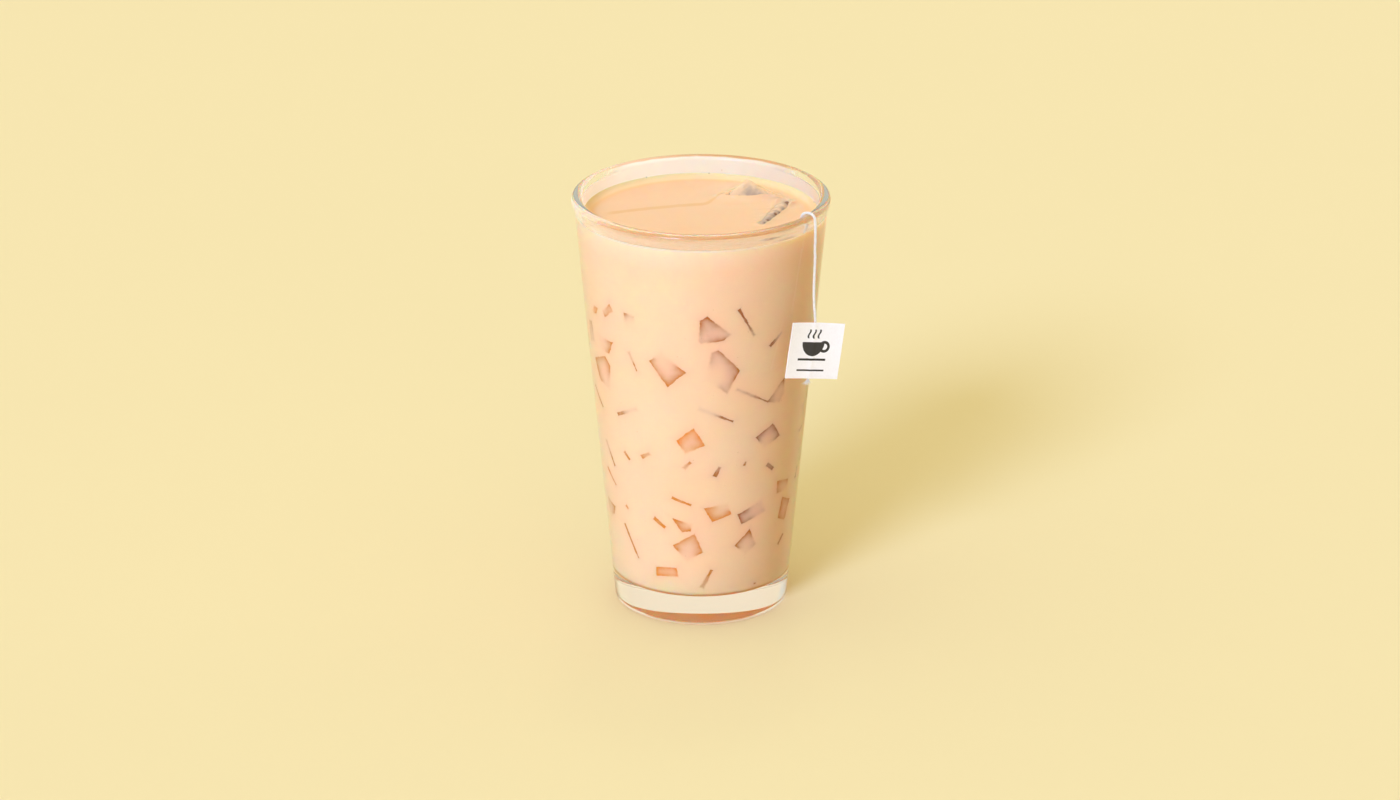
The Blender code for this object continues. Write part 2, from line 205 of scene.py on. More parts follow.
# Ice edges at the wall: thin lines from one end to the other, (degrees, millimetres up, milk depth)
ICE_EDGES = (
    (0.2, (19, 119.5, 0.0), (28, 109, 0.25), 0.8),
    (0.1, (38, 103.5, 0.0), (45.5, 107.5, 0.5), 1.0),
    (0.3, (19.5, 89.5, 0.5), (39.5, 82.5, 0.05), 0.8),
    (0.7, (-40.5, 101, 0.5), (-36, 94.5, 0.0), 0.7),
    (0.7, (-79, 81, 0.2), (-69, 75, 0.0), 0.9),
    (0.5, (-53, 75.5, 0.0), (-38, 80, 0.8), 0.9),
    (0.3, (-1, 83, 0.9), (18, 77.5, 0.0), 0.8),
    (0.7, (-69, 62.5, 0.4), (-61, 54.5, 0.0), 0.8),
    (0.8, (-50, 62, 0.3), (-46, 59.5, 0.0), 1.1),
    (0.8, (-36.5, 62, 0.1), (-31, 64, 0.3), 1.2),
    (0.8, (-10, 60, 0.5), (-6, 62.5, 0.0), 1.1),
    (0.3, (8, 57, 0.0), (11, 60.5, 0.1), 1.3),
    (0.5, (26, 60, 0.1), (27, 61.5, 0.2), 0.8),
    (0.1, (42, 58.5, 0.2), (47, 56, 0.1), 1.3),
    (0.9, (-71.5, 52, 0.1), (-62, 47, 0.0), 0.8),
    (0.9, (-18, 48.5, 0.0), (-6, 46, 0.0), 1.1),
    (1.0, (-53, 41, 0.1), (-51, 40, 0.1), 0.9),
    (0.9, (-30.5, 39.5, 0.0), (-23, 36.5, 0.0), 1.2),
    (0.8, (-56, 33.5, 0.1), (-45, 22, 0.0), 0.7),
    (0.5, (59, 25, 0.2), (64, 28, 0.2), 0.9),
    (0.7, (0.5, 14, 0.3), (7, 21, 0.0), 1.3),
    (0.6, (38, 13, 0.1), (40, 13, 0.2), 0.7),
    (0.4, (73, 65, 0.3), (78, 66, 0.2), 0.9),
    (0.4, (75, 47, 0.3), (77, 51, 0.2), 0.8),
    (0.5, (82, 52, 0.0), (90, 57, 0.3), 0.8),
    (0.3, (104, 74, 0.0), (113, 68, 0.3), 0.8),
    (0.8, (122, 22, 0.0), (131, 25, 0.2), 0.9),
    (0.4, (118, 109, 0.2), (125, 101, 0.0), 0.8),
    (0.6, (143, 56, 0.0), (150, 52, 0.4), 1.0),
    (0.3, (134, 70, 0.3), (141, 76, 0.0), 0.8),
    (0.7, (152, 24, 0.0), (161, 28, 0.2), 0.9),
    (0.5, (183, 61, 0.1), (191, 57, 0.0), 1.0),
    (0.4, (186, 110, 0.0), (195, 104, 0.4), 0.8),
    (0.8, (183, 36, 0.3), (190, 41, 0.0), 0.9),
    (0.6, (209, 94, 0.0), (219, 90, 0.4), 0.8),
    (0.8, (206, 44, 0.0), (212, 38, 0.1), 1.0),
    (0.7, (229, 76, 0.2), (239, 80, 0.0), 0.8),
    (0.9, (228, 31, 0.0), (237, 26, 0.2), 0.9),
    (0.8, (246, 60, 0.2), (255, 56, 0.0), 0.8),
    (0.9, (262, 24, 0.0), (269, 29, 0.3), 0.9),
    (0.8, (256, 112, 0.2), (263, 105, 0.0), 0.9),
    (0.8, (272, 93, 0.0), (277, 99, 0.3), 0.8),
)
HALO_REACH = 3.5


def clear_selection():
    if bpy.context.object and bpy.context.object.mode != "OBJECT":
        bpy.ops.object.mode_set(mode="OBJECT")
    bpy.ops.object.select_all(action="DESELECT")


def select_only(piece):
    clear_selection()
    piece.select_set(True)
    bpy.context.view_layer.objects.active = piece


@contextmanager
def edit_mode(piece):
    select_only(piece)
    bpy.ops.object.mode_set(mode="EDIT")
    bpy.ops.mesh.select_all(action="SELECT")
    yield
    bpy.ops.object.mode_set(mode="OBJECT")


def apply_place(piece):
    select_only(piece)
    bpy.ops.object.transform_apply(location=True, rotation=True, scale=True)


def apply_modifiers(piece):
    select_only(piece)
    for modifier in list(piece.modifiers):
        bpy.ops.object.modifier_apply(modifier=modifier.name)


def join(pieces, name):
    select_only(pieces[0])
    for piece in pieces[1:]:
        piece.select_set(True)
    bpy.ops.object.join()
    pieces[0].name = name
    pieces[0].data.name = name
    return pieces[0]


def smooth(piece, angle=35.0):
    select_only(piece)
    bpy.ops.object.shade_smooth_by_angle(angle=math.radians(angle))


def finish_piece(piece, slot, *materials):
    """Gives a piece its materials and its body."""
    for made in materials:
        piece.data.materials.append(made)
    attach(piece, "root")
    return piece


def extruded_line(name, points):
    """An edge line in the XZ plane: one vertex, extruded from point to point."""
    clear_selection()
    bpy.ops.mesh.primitive_plane_add(size=MM)
    piece = bpy.context.object
    piece.name = name
    piece.data.name = name
    with edit_mode(piece):
        bpy.ops.mesh.merge(type="CENTER")
        bpy.ops.transform.translate(value=(points[0][0], 0.0, points[0][1]))
        for here, there in zip(points, points[1:]):
            step = (there[0] - here[0], 0.0, there[1] - here[1])
            bpy.ops.mesh.extrude_region_move(TRANSFORM_OT_translate={"value": step})
    return piece


def turned(name, points, steps):
    """A closed solid of revolution: an outline of (radius, height) points spun about the axis."""
    piece = extruded_line(name, points)
    with edit_mode(piece):
        bpy.ops.mesh.spin(
            steps=steps, angle=TAU, center=(0.0, 0.0, 0.0), axis=(0.0, 0.0, 1.0), use_auto_merge=True
        )
        bpy.ops.mesh.select_all(action="SELECT")
        bpy.ops.mesh.remove_doubles(threshold=0.002 * MM)
        bpy.ops.mesh.normals_make_consistent(inside=False)
    return piece


def outer_radius(height):
    return BASE_RADIUS + TAPER * height


def inner_radius(height):
    return outer_radius(height) - WALL


def arc(centre, across, along, start, end, steps):
    points = []
    for step in range(steps + 1):
        angle = math.radians(start + (end - start) * step / steps)
        points.append((centre[0] + across * math.cos(angle), centre[1] + along * math.sin(angle)))
    return points


def line_between(start, end, step, margin=0.25 * MM):
    """Points along a straight stretch, with one close to each end so that the shading stays true."""
    length = math.hypot(end[0] - start[0], end[1] - start[1])
    count = max(1, round((length - 2 * margin) / step))
    shares = [(margin + (length - 2 * margin) * k / count) / length for k in range(count + 1)]
    return [
        (start[0] + (end[0] - start[0]) * share, start[1] + (end[1] - start[1]) * share)
        for share in shares
    ]


def fillet_in_glass(radius, steps):
    """The round corner between the inner floor and wall; a larger radius reaches into the glass."""
    height = FLOOR + FLOOR_FILLET
    centre = (inner_radius(height) - FLOOR_FILLET * TAPER_SLANT, height)
    return arc(centre, radius, radius, -90.0, -TAPER_ANGLE, steps)


def smooth_through(route, step):
    """Points at an even step along a smooth curve through the route's points."""
    fine = []
    last = len(route) - 1
    for index in range(last):
        before = route[max(index - 1, 0)]
        here, there = route[index], route[index + 1]
        after = route[min(index + 2, last)]
        for part in range(20):
            t = part / 20
            fine.append(
                (
                    here * 2
                    + (there - before) * t
                    + (before * 2 - here * 5 + there * 4 - after) * t**2
                    + (here * 3 - before - there * 3 + after) * t**3
                )
                / 2
            )
    fine.append(route[-1])
    lengths = [0.0]
    for here, there in zip(fine, fine[1:]):
        lengths.append(lengths[-1] + (there - here).length)
    count = max(2, round(lengths[-1] / step))
    points = []
    index = 0
    for number in range(count + 1):
        wanted = lengths[-1] * number / count
        while index < len(lengths) - 2 and lengths[index + 1] < wanted:
            index += 1
        share = (wanted - lengths[index]) / (lengths[index + 1] - lengths[index])
        points.append(fine[index].lerp(fine[index + 1], min(max(share, 0.0), 1.0)))
    return points


def tag_placing():
    facing = Matrix.Rotation(math.radians(TAG_FACING), 4, "Z")
    tilt = Matrix.Rotation(math.radians(TAG_TILT), 4, "X")
    lean = Matrix.Rotation(math.radians(TAG_LEAN), 4, "Y")
    return Matrix.Translation(TAG_TOP_CENTRE) @ facing @ tilt @ lean


def string_route():
    start = CONTACT + 0.3 * MM

    def beside(radius, height):
        return STRING_DIRECTION * radius + Vector((0.0, 0.0, height))

    rim_height = HEIGHT - BEAD_TOP
    inside = inner_radius(rim_height) - STRING_CLEARANCE
    outside = RIM_RADIUS + STRING_CLEARANCE
    over = HEIGHT + STRING_CLEARANCE
    middle = (inner_radius(rim_height) + RIM_RADIUS) / 2
    shoulder = 0.72
    return [
        beside(inner_radius(start) - STRING_CLEARANCE, start),
        beside(inside - 0.1 * MM, rim_height - 1.6 * MM),
        beside(inside, rim_height + 0.4 * MM),
        beside(middle + (inside - middle) * shoulder, rim_height + (over - rim_height) * shoulder),
        beside(middle, over),
        beside(middle + (outside - middle) * shoulder, rim_height + (over - rim_height) * shoulder),
        beside(outside, rim_height - 0.4 * MM),
        *[Vector(point) * MM for point in STRING_HANG],
        tag_placing() @ Vector((STRING_OFF_CENTRE, 0.0, 0.3 * MM)),
    ]


def tube(name, lines, radius, resolution=1, taper=False):
    """Closed tubes along one or more lines of points, made a mesh."""
    curve = bpy.data.curves.new(name, "CURVE")
    curve.dimensions = "3D"
    curve.bevel_depth = radius
    curve.bevel_resolution = resolution
    curve.use_fill_caps = True
    for points in lines:
        spline = curve.splines.new("POLY")
        spline.points.add(len(points) - 1)
        for index, (place, point) in enumerate(zip(spline.points, points)):
            place.co = (*point, 1.0)
            if taper:
                place.radius = 1.0 - 0.6 * index / (len(points) - 1)
    piece = bpy.data.objects.new(name, curve)
    bpy.context.collection.objects.link(piece)
    select_only(piece)
    bpy.ops.object.convert(target="MESH")
    return bpy.context.object


class Wires:
    """Wires the nodes of one tree. A value may be a socket, a number, a colour or a vector."""

    def __init__(self, tree):
        self.tree = tree

    def put(self, socket, value):
        if isinstance(value, bpy.types.NodeSocket):
            self.tree.links.new(value, socket)
        elif hasattr(value, "__len__") and len(value) == 3 and socket.type == "RGBA":
            socket.default_value = (*value, 1.0)
        else:
            socket.default_value = value

    def node(self, kind, settings=None, **values):
        made = self.tree.nodes.new("ShaderNode" + kind)
        for name, value in (settings or {}).items():
            setattr(made, name, value)
        for name, value in values.items():
            self.put(made.inputs[name.replace("_", " ")], value)
        return made

    def math(self, operation, *values, clamp=False):
        made = self.node("Math", {"operation": operation, "use_clamp": clamp})
        for socket, value in zip(made.inputs, values):
            self.put(socket, value)
        return made.outputs[0]

    def mix(self, factor, first, second, blend="MIX"):
        made = self.node("Mix", {"data_type": "RGBA", "blend_type": blend})
        self.put(made.inputs[0], factor)
        self.put(made.inputs[6], first)
        self.put(made.inputs[7], second)
        return made.outputs[2]

    def spread(self, value, low, high, to_low=0.0, to_high=1.0):
        """A smooth step from one range to another."""
        made = self.node("MapRange", {"interpolation_type": "SMOOTHSTEP"})
        for socket, number in zip(made.inputs, (value, low, high, to_low, to_high)):
            self.put(socket, number)
        return made.outputs[0]

    def noise(self, where, scale, detail=2.0, roughness=0.5):
        made = self.node("TexNoise", Vector=where, Scale=scale, Detail=detail, Roughness=roughness)
        return made.outputs[0]

    def place(self):
        return self.node("TexCoord").outputs["Object"]

    def attribute(self, name):
        return self.node("Attribute", {"attribute_name": name})

    def group(self, tree, **values):
        made = self.tree.nodes.new("ShaderNodeGroup")
        made.node_tree = tree
        for name, value in values.items():
            self.put(made.inputs[name.replace("_", " ")], value)
        return made.outputs

    def bump(self, height, strength, distance):
        return self.node("Bump", Height=height, Strength=strength, Distance=distance).outputs[0]


def new_group(name, inputs, outputs):
    """A shader node group with named inputs and outputs, and its wires."""
    tree = bpy.data.node_groups.new(name, "ShaderNodeTree")
    for label, kind, default in inputs:
        socket = tree.interface.new_socket(name=label, in_out="INPUT", socket_type="NodeSocket" + kind)
        if default is not None:
            socket.default_value = default
    for label, kind in outputs:
        tree.interface.new_socket(name=label, in_out="OUTPUT", socket_type="NodeSocket" + kind)
    wires = Wires(tree)
    entry = tree.nodes.new("NodeGroupInput").outputs
    leave = tree.nodes.new("NodeGroupOutput").inputs
    return tree, wires, entry, leave


def specks_group():
    """Fine specks of tea: sparse round dots of uneven size."""
    tree, wires, given, result = new_group(
        "tea_specks",
        [("Where", "Vector", None), ("Cell", "Float", 400.0), ("Size", "Float", 0.1), ("Share", "Float", 0.2)],
        [("Mask", "Float")],
    )
    cells = wires.node("TexVoronoi", {"feature": "F1"}, Vector=given["Where"], Scale=given["Cell"])
    chance = wires.node("SeparateColor", Color=cells.outputs["Color"]).outputs
    chosen = wires.math("LESS_THAN", chance[0], given["Share"])
    radius = wires.math("MULTIPLY", given["Size"], wires.math("ADD", 0.35, chance[1]))
    inner = wires.math("MULTIPLY", radius, 0.55)
    dot = wires.spread(cells.outputs["Distance"], radius, inner)
    wires.put(result["Mask"], wires.math("MULTIPLY", dot, chosen))
    return tree


def ice_at_wall_group():
    """How ice shows through the wall. Sides holds the distances inside three of the face's sides, and
    Film the distance inside the fourth, the depth of milk over the ice and the face's warmth. A flat face
    touches the round wall along its sides only, so the milk over it deepens towards its middle."""
    tree, wires, given, result = new_group(
        "ice_at_wall",
        [("Sides", "Vector", None), ("Film", "Vector", None), ("Ragged", "Float", 0.0), ("Uneven", "Float", 0.0)],
        [("Pale", "Float"), ("Dark", "Float"), ("Warm", "Float")],
    )
    sides = wires.node("SeparateXYZ", Vector=given["Sides"]).outputs
    film = wires.node("SeparateXYZ", Vector=given["Film"]).outputs
    nearest, gentle = film[0], film[0]
    for side in sides:
        nearest = wires.math("MINIMUM", nearest, side)
        gentle = wires.math("SMOOTH_MIN", gentle, side, 1.5)
    inside = wires.math("ADD", nearest, given["Ragged"])
    depth = wires.math("MAXIMUM", wires.math("ADD", film[1], given["Uneven"]), 0.0)
    deepening = wires.math("MULTIPLY", wires.math("MAXIMUM", gentle, 0.0), 0.11)
    deep = wires.math("ADD", depth, deepening)
    blur = wires.math("MULTIPLY_ADD", depth, 1.2, 0.12)
    cover = wires.spread(inside, wires.math("MULTIPLY", blur, -1.0), blur)
    veil = wires.math("MULTIPLY", wires.math("EXPONENT", wires.math("MULTIPLY", deep, -1.05)), cover)
    outside = wires.math("MAXIMUM", wires.math("MULTIPLY", inside, -1.0), 0.0)
    fading = wires.math("ADD", wires.math("MULTIPLY", outside, 1.1), wires.math("MULTIPLY", depth, 1.6))
    haze = wires.math("MULTIPLY", wires.math("EXPONENT", wires.math("MULTIPLY", fading, -0.9)), 0.42)
    # Dark is painted shade: the shaded drink seen through clear ice where its edge meets the wall.
    steeper = wires.math("MULTIPLY_ADD", wires.math("MAXIMUM", gentle, 0.0), 0.3, depth)
    bared = wires.math("MAXIMUM", wires.math("SUBTRACT", steeper, 0.08), 0.0)
    falloff = wires.math("MULTIPLY_ADD", film[2], 1.8, -3.8)
    dark = wires.math("MULTIPLY", wires.math("EXPONENT", wires.math("MULTIPLY", bared, falloff)), cover)
    wires.put(result["Pale"], wires.math("MAXIMUM", veil, haze))
    wires.put(result["Dark"], dark)
    wires.put(result["Warm"], film[2])
    return tree


def fibre_group():
    """Fine fibres: noise stretched along one direction over a coarser mottle."""
    tree, wires, given, result = new_group(
        "fibres",
        [("Where", "Vector", None), ("Scale", "Float", 1.0), ("Stretch", "Vector", (1.0, 1.0, 1.0))],
        [("Value", "Float")],
    )
    stretched = wires.node("Mapping", Vector=given["Where"], Scale=given["Stretch"]).outputs[0]
    fine = wires.noise(stretched, given["Scale"], 4.0, 0.6)
    coarse = wires.noise(given["Where"], wires.math("MULTIPLY", given["Scale"], 0.22), 2.0)
    wires.put(result["Value"], wires.math("ADD", wires.math("MULTIPLY", fine, 0.7), wires.math("MULTIPLY", coarse, 0.3)))
    return tree


def milk_group():
    """The milk tea's own colour: a faint cloudiness, a slow drift in strength, and fine specks."""
    tree, wires, given, result = new_group(
        "milk_colour",
        [("Where", "Vector", None), ("Milk", "Color", (1, 1, 1, 1)), ("Tea", "Color", (1, 1, 1, 1)), ("Specks", "Float", 1.0)],
        [("Color", "Color"), ("Cloud", "Float")],
    )
    cloud = wires.noise(given["Where"], 38.0, 3.0, 0.55)
    drift = wires.noise(given["Where"], 12.0, 1.0)
    strength = wires.spread(wires.math("ADD", wires.math("MULTIPLY", cloud, 0.6), wires.math("MULTIPLY", drift, 0.4)), 0.3, 0.7)
    body = wires.mix(strength, given["Milk"], given["Tea"])
    dots = wires.group(GROUPS["specks"], Where=given["Where"], Cell=330.0, Size=0.062, Share=0.16)["Mask"]
    fine = wires.group(GROUPS["specks"], Where=given["Where"], Cell=760.0, Size=0.11, Share=0.07)["Mask"]
    amount = wires.math("MULTIPLY", wires.math("MAXIMUM", dots, fine), given["Specks"])
    wires.put(result["Color"], wires.mix(wires.math("MULTIPLY", amount, 0.5), body, (0.42, 0.16, 0.05)))
    wires.put(result["Cloud"], strength)
    return tree


GROUPS = {}


def build_groups():
    GROUPS["specks"] = specks_group()
    GROUPS["ice_at_wall"] = ice_at_wall_group()
    GROUPS["fibres"] = fibre_group()
    GROUPS["milk"] = milk_group()


def new_material(name, **values):
    """A material with a Principled shader, its wires and the shader."""
    made = bpy.data.materials.new(name)
    made.use_nodes = True
    wires = Wires(made.node_tree)
    shader = made.node_tree.nodes["Principled BSDF"]
    for label, value in values.items():
        wires.put(shader.inputs[label.replace("_", " ")], value)
    return made, wires, shader.inputs


def lets_light_through(made, wires, tint=(1.0, 1.0, 1.0)):
    """Shadow rays pass the glass, so that lamps reach what stands inside."""
    nodes = made.node_tree.nodes
    out = nodes["Material Output"]
    clear = wires.node("BsdfTransparent", Color=tint)
    light = wires.node("LightPath")
    blend = wires.node("MixShader")
    wires.put(blend.inputs[0], light.outputs["Is Shadow Ray"])
    wires.put(blend.inputs[1], nodes["Principled BSDF"].outputs[0])
    wires.put(blend.inputs[2], clear.outputs[0])
    wires.put(out.inputs["Surface"], blend.outputs[0])


def glass_material(colour):
    made, wires, shader = new_material(
        "clear_glass", Base_Color=colour, Transmission_Weight=1.0, IOR=1.5, Metallic=0.0
    )
    where = wires.place()
    smear = wires.noise(where, 60.0, 3.0)
    wires.put(shader["Roughness"], wires.spread(smear, 0.35, 0.75, 0.0, 0.025))
    pressed = wires.noise(where, 22.0, 1.0)
    wires.put(shader["Normal"], wires.bump(pressed, 0.04, 0.4 * MM))
    # Light that has been turned back inside many times arrives as a mean of the room.
    turns = wires.node("LightPath").outputs["Ray Depth"]
    wires.put(shader["Emission Color"], GUIDED_LIGHT)
    height = wires.node("SeparateXYZ", Vector=where).outputs[2]
    guided = wires.spread(height, 2.0 * FLOOR, 2.6 * FLOOR, 0.0, 0.22)
    wires.put(shader["Emission Strength"], wires.math("MULTIPLY", wires.math("GREATER_THAN", turns, 4.5), guided))
    lets_light_through(made, wires, (0.97, 0.98, 0.97))
    return made


def tea_materials(settings):
    """The drink behind the wall, which has no gloss of its own, and its free surface."""
    made, wires, shader = new_material(
        "milk_tea_behind_glass",
        Roughness=0.6,
        Specular_IOR_Level=0.0,
        Subsurface_Weight=1.0,
        Subsurface_Radius=(1.0, 0.15, 0.06),
        Subsurface_Scale=settings.scatter,
    )
    where = wires.place()
    milk = wires.group(GROUPS["milk"], Where=where, Milk=settings.milk, Tea=settings.tea, Specks=1.0)
    fine = wires.math("SUBTRACT", wires.noise(where, 900.0, 3.0, 0.65), 0.5)
    broad = wires.math("SUBTRACT", wires.noise(where, 280.0, 1.0), 0.5)
    ragged = wires.math("ADD", wires.math("MULTIPLY", fine, 0.6), wires.math("MULTIPLY", broad, 0.7))
    uneven = wires.math("MULTIPLY", wires.math("SUBTRACT", wires.noise(where, 210.0, 1.0), 0.5), 0.7)
    marks = []
    for layer in ("a", "b"):
        sides = wires.attribute("ice_sides_" + layer).outputs["Vector"]
        film = wires.attribute("ice_film_" + layer).outputs["Vector"]
        marks.append(wires.group(GROUPS["ice_at_wall"], Sides=sides, Film=film, Ragged=ragged, Uneven=uneven))
    pale = wires.math("MAXIMUM", marks[0]["Pale"], marks[1]["Pale"])
    dark = wires.math("MAXIMUM", marks[0]["Dark"], marks[1]["Dark"])
    second = wires.math("GREATER_THAN", marks[1]["Pale"], marks[0]["Pale"])
    warm = wires.node("Mix", {"data_type": "FLOAT"})
    wires.put(warm.inputs[0], second)
    wires.put(warm.inputs[2], marks[0]["Warm"])
    wires.put(warm.inputs[3], marks[1]["Warm"])
    warmth = warm.outputs[0]
    veil = wires.mix(warmth, settings.ice_pale, settings.ice_pale_warm)
    edge = wires.mix(warmth, settings.ice_dark, settings.ice_dark_warm)
    body = wires.mix(wires.math("MULTIPLY", pale, settings.ice_clearness), milk["Color"], veil)
    mottle = wires.spread(wires.noise(where, 600.0, 2.0), 0.3, 0.62)
    # Painted shade at the edges of sunk ice, a little mottled.
    ice_edge_shade = wires.math("MULTIPLY", dark, wires.math("MULTIPLY_ADD", mottle, 0.2, 0.8))
    height = wires.node("SeparateXYZ", Vector=where).outputs[2]
    contact = wires.spread(height, CONTACT - 0.9 * MM, CONTACT - 0.35 * MM, 0.0, 0.75)
    # Painted shade: a darker line where the drink meets the glass's floor.
    seam = wires.spread(height, FLOOR + 1.5 * MM, FLOOR + 0.5 * MM, 0.0, 0.8)
    seam = wires.math("MULTIPLY", seam, wires.spread(height, FLOOR, FLOOR + 0.2 * MM))
    # Painted light: the drink is paler in a band just under the meniscus.
    painted_light_band = wires.spread(height, CONTACT - 9.0 * MM, CONTACT - 2.0 * MM, 0.0, 0.5)
    stained = wires.mix(seam, wires.mix(ice_edge_shade, wires.mix(painted_light_band, body, (1.0, 0.76, 0.50)), edge), settings.seam)
    wires.put(shader["Base Color"], wires.mix(contact, stained, (1.0, 0.66, 0.54)))
    wires.put(shader["Emission Color"], settings.pooled)
    wires.put(shader["Emission Strength"], wires.spread(height, FLOOR + 0.2 * MM, FLOOR - 0.1 * MM, 0.0, 1.0))

    top, wires, shader = new_material(
        "milk_tea_surface",
        Specular_IOR_Level=0.5,
        IOR=1.34,
        Subsurface_Weight=1.0,
        Subsurface_Radius=(1.0, 0.5, 0.3),
        Subsurface_Scale=2.0 * MM,
    )
    where = wires.place()
    milk = wires.group(GROUPS["milk"], Where=where, Milk=settings.surface_milk, Tea=settings.surface_tea, Specks=0.7)
    axes = wires.node("SeparateXYZ", Vector=where).outputs
    climbed = wires.math("SUBTRACT", axes[2], DRINK_LEVEL)
    squares = wires.math("ADD", wires.math("MULTIPLY", axes[0], axes[0]), wires.math("MULTIPLY", axes[1], axes[1]))
    at_wall = wires.spread(squares, (34.5 * MM) ** 2, (39.2 * MM) ** 2)
    thin = wires.math("MAXIMUM", wires.spread(squares, (35.5 * MM) ** 2, (39.0 * MM) ** 2), wires.math("MULTIPLY", wires.spread(climbed, 0.1 * MM, 0.8 * MM), at_wall))
    back = wires.math("MULTIPLY", wires.spread(climbed, 0.35 * MM, 0.8 * MM), wires.spread(axes[1], -4.0 * MM, 22.0 * MM))
    tinted = wires.mix(wires.math("MULTIPLY", thin, 0.65), milk["Color"], settings.edge)
    drained = wires.mix(wires.math("MULTIPLY", back, at_wall), tinted, settings.drained)
    tail = wires.math("MULTIPLY", wires.attribute("sunk_tail").outputs["Fac"], 0.7)
    iced = wires.mix(tail, drained, settings.surface_ice)
    # Painted reflection: a faint darker line where the back rim's crest would mirror in the surface.
    fold = wires.math("MULTIPLY", painted_rim_reflection(wires, axes, where), 0.9)
    wires.put(shader["Base Color"], wires.mix(fold, iced, (0.93, 0.85, 0.70), "MULTIPLY"))
    wires.put(shader["Roughness"], wires.spread(milk["Cloud"], 0.0, 1.0, 0.02, 0.07))
    ripple = wires.noise(where, 55.0, 1.0)
    wires.put(shader["Normal"], wires.bump(ripple, 0.05, 0.3 * MM))
    return made, top


def painted_rim_reflection(wires, axes, where):
    """A faint painted reflection of the back rim's crest in the drink's surface: it runs level from the left wall and
    turns back before the ice.
    """
    across, back = (wires.math("DIVIDE", axis, MM) for axis in axes[:2])
    bend = wires.math("MULTIPLY_ADD", wires.math("MULTIPLY", across, across), -0.0033, 12.9)
    line = wires.math("MULTIPLY_ADD", across, 0.2, bend)
    turning = wires.math("POWER", wires.math("MAXIMUM", across, 0.0), 2.0)
    line = wires.math("MULTIPLY_ADD", turning, 0.19, line)
    wander = wires.math("MULTIPLY", wires.math("SUBTRACT", wires.noise(where, 160.0, 2.0), 0.5), 1.6)
    apart = wires.math("ABSOLUTE", wires.math("ADD", wires.math("SUBTRACT", back, line), wander))
    ends = wires.math("MULTIPLY", wires.spread(across, -34.0, -29.0), wires.spread(across, 8.5, 6.0))
    return wires.math("MULTIPLY", wires.spread(apart, 1.9, 0.9), ends)


def ice_material(settings):
    """Ice under a film of milk tea: the drink's colour at its foot, paler above, with spots of painted grey shade, and
    grey and dark where bare.
    """
    made, wires, shader = new_material(
        "milky_ice",
        IOR=1.33,
        Subsurface_Weight=0.8,
        Subsurface_Radius=(1.0, 0.6, 0.4),
        Subsurface_Scale=2.5 * MM,
    )
    where = wires.place()
    patch = wires.noise(where, 420.0, 4.0, 0.6)
    cloud = wires.noise(where, 140.0, 2.0)
    height = wires.node("SeparateXYZ", Vector=where).outputs[2]
    uneven = wires.math("MULTIPLY_ADD", cloud, 1.6 * MM, height)
    raised = wires.spread(uneven, DRINK_LEVEL + 1.4 * MM, DRINK_LEVEL + 4.2 * MM)
    film = wires.mix(raised, settings.foot, settings.film)
    film = wires.mix(wires.math("MULTIPLY", wires.spread(cloud, 0.45, 0.75), 0.5), film, settings.film_dull)
    # The shade spots are painted shade, grey where the ice shows through its film.
    shade = wires.math("MULTIPLY", wires.attribute("shade").outputs["Fac"], wires.spread(cloud, 0.2, 0.5, 0.6, 1.0))
    veiled = wires.mix(wires.math("MULTIPLY", shade, 0.85), film, settings.shade)
    torn = wires.math("MULTIPLY_ADD", wires.math("SUBTRACT", patch, 0.5), 0.5, wires.attribute("bare").outputs["Fac"])
    bare = wires.spread(torn, 0.4, 0.8)
    grey = wires.mix(patch, settings.bare_dark, settings.bare_brown)
    wires.put(shader["Base Color"], wires.mix(bare, veiled, grey))
    wires.put(shader["Roughness"], wires.spread(patch, 0.2, 0.8, 0.05, 0.2))
    wires.put(shader["Normal"], wires.bump(wires.math("ADD", patch, wires.math("MULTIPLY", cloud, 2.0)), 0.22, 0.25 * MM))
    return made


def cotton_material(colour):
    made, wires, shader = new_material("cotton", Sheen_Weight=0.3, Sheen_Roughness=0.5)
    fibre = wires.group(GROUPS["fibres"], Where=wires.place(), Scale=5200.0, Stretch=(1.0, 1.0, 0.3))["Value"]
    wires.put(shader["Base Color"], wires.mix(wires.spread(fibre, 0.3, 0.7), tuple(c * 0.78 for c in colour), colour))
    wires.put(shader["Roughness"], wires.spread(fibre, 0.2, 0.8, 0.95, 0.75))
    wires.put(shader["Normal"], wires.bump(fibre, 0.5, 0.06 * MM))
    return made


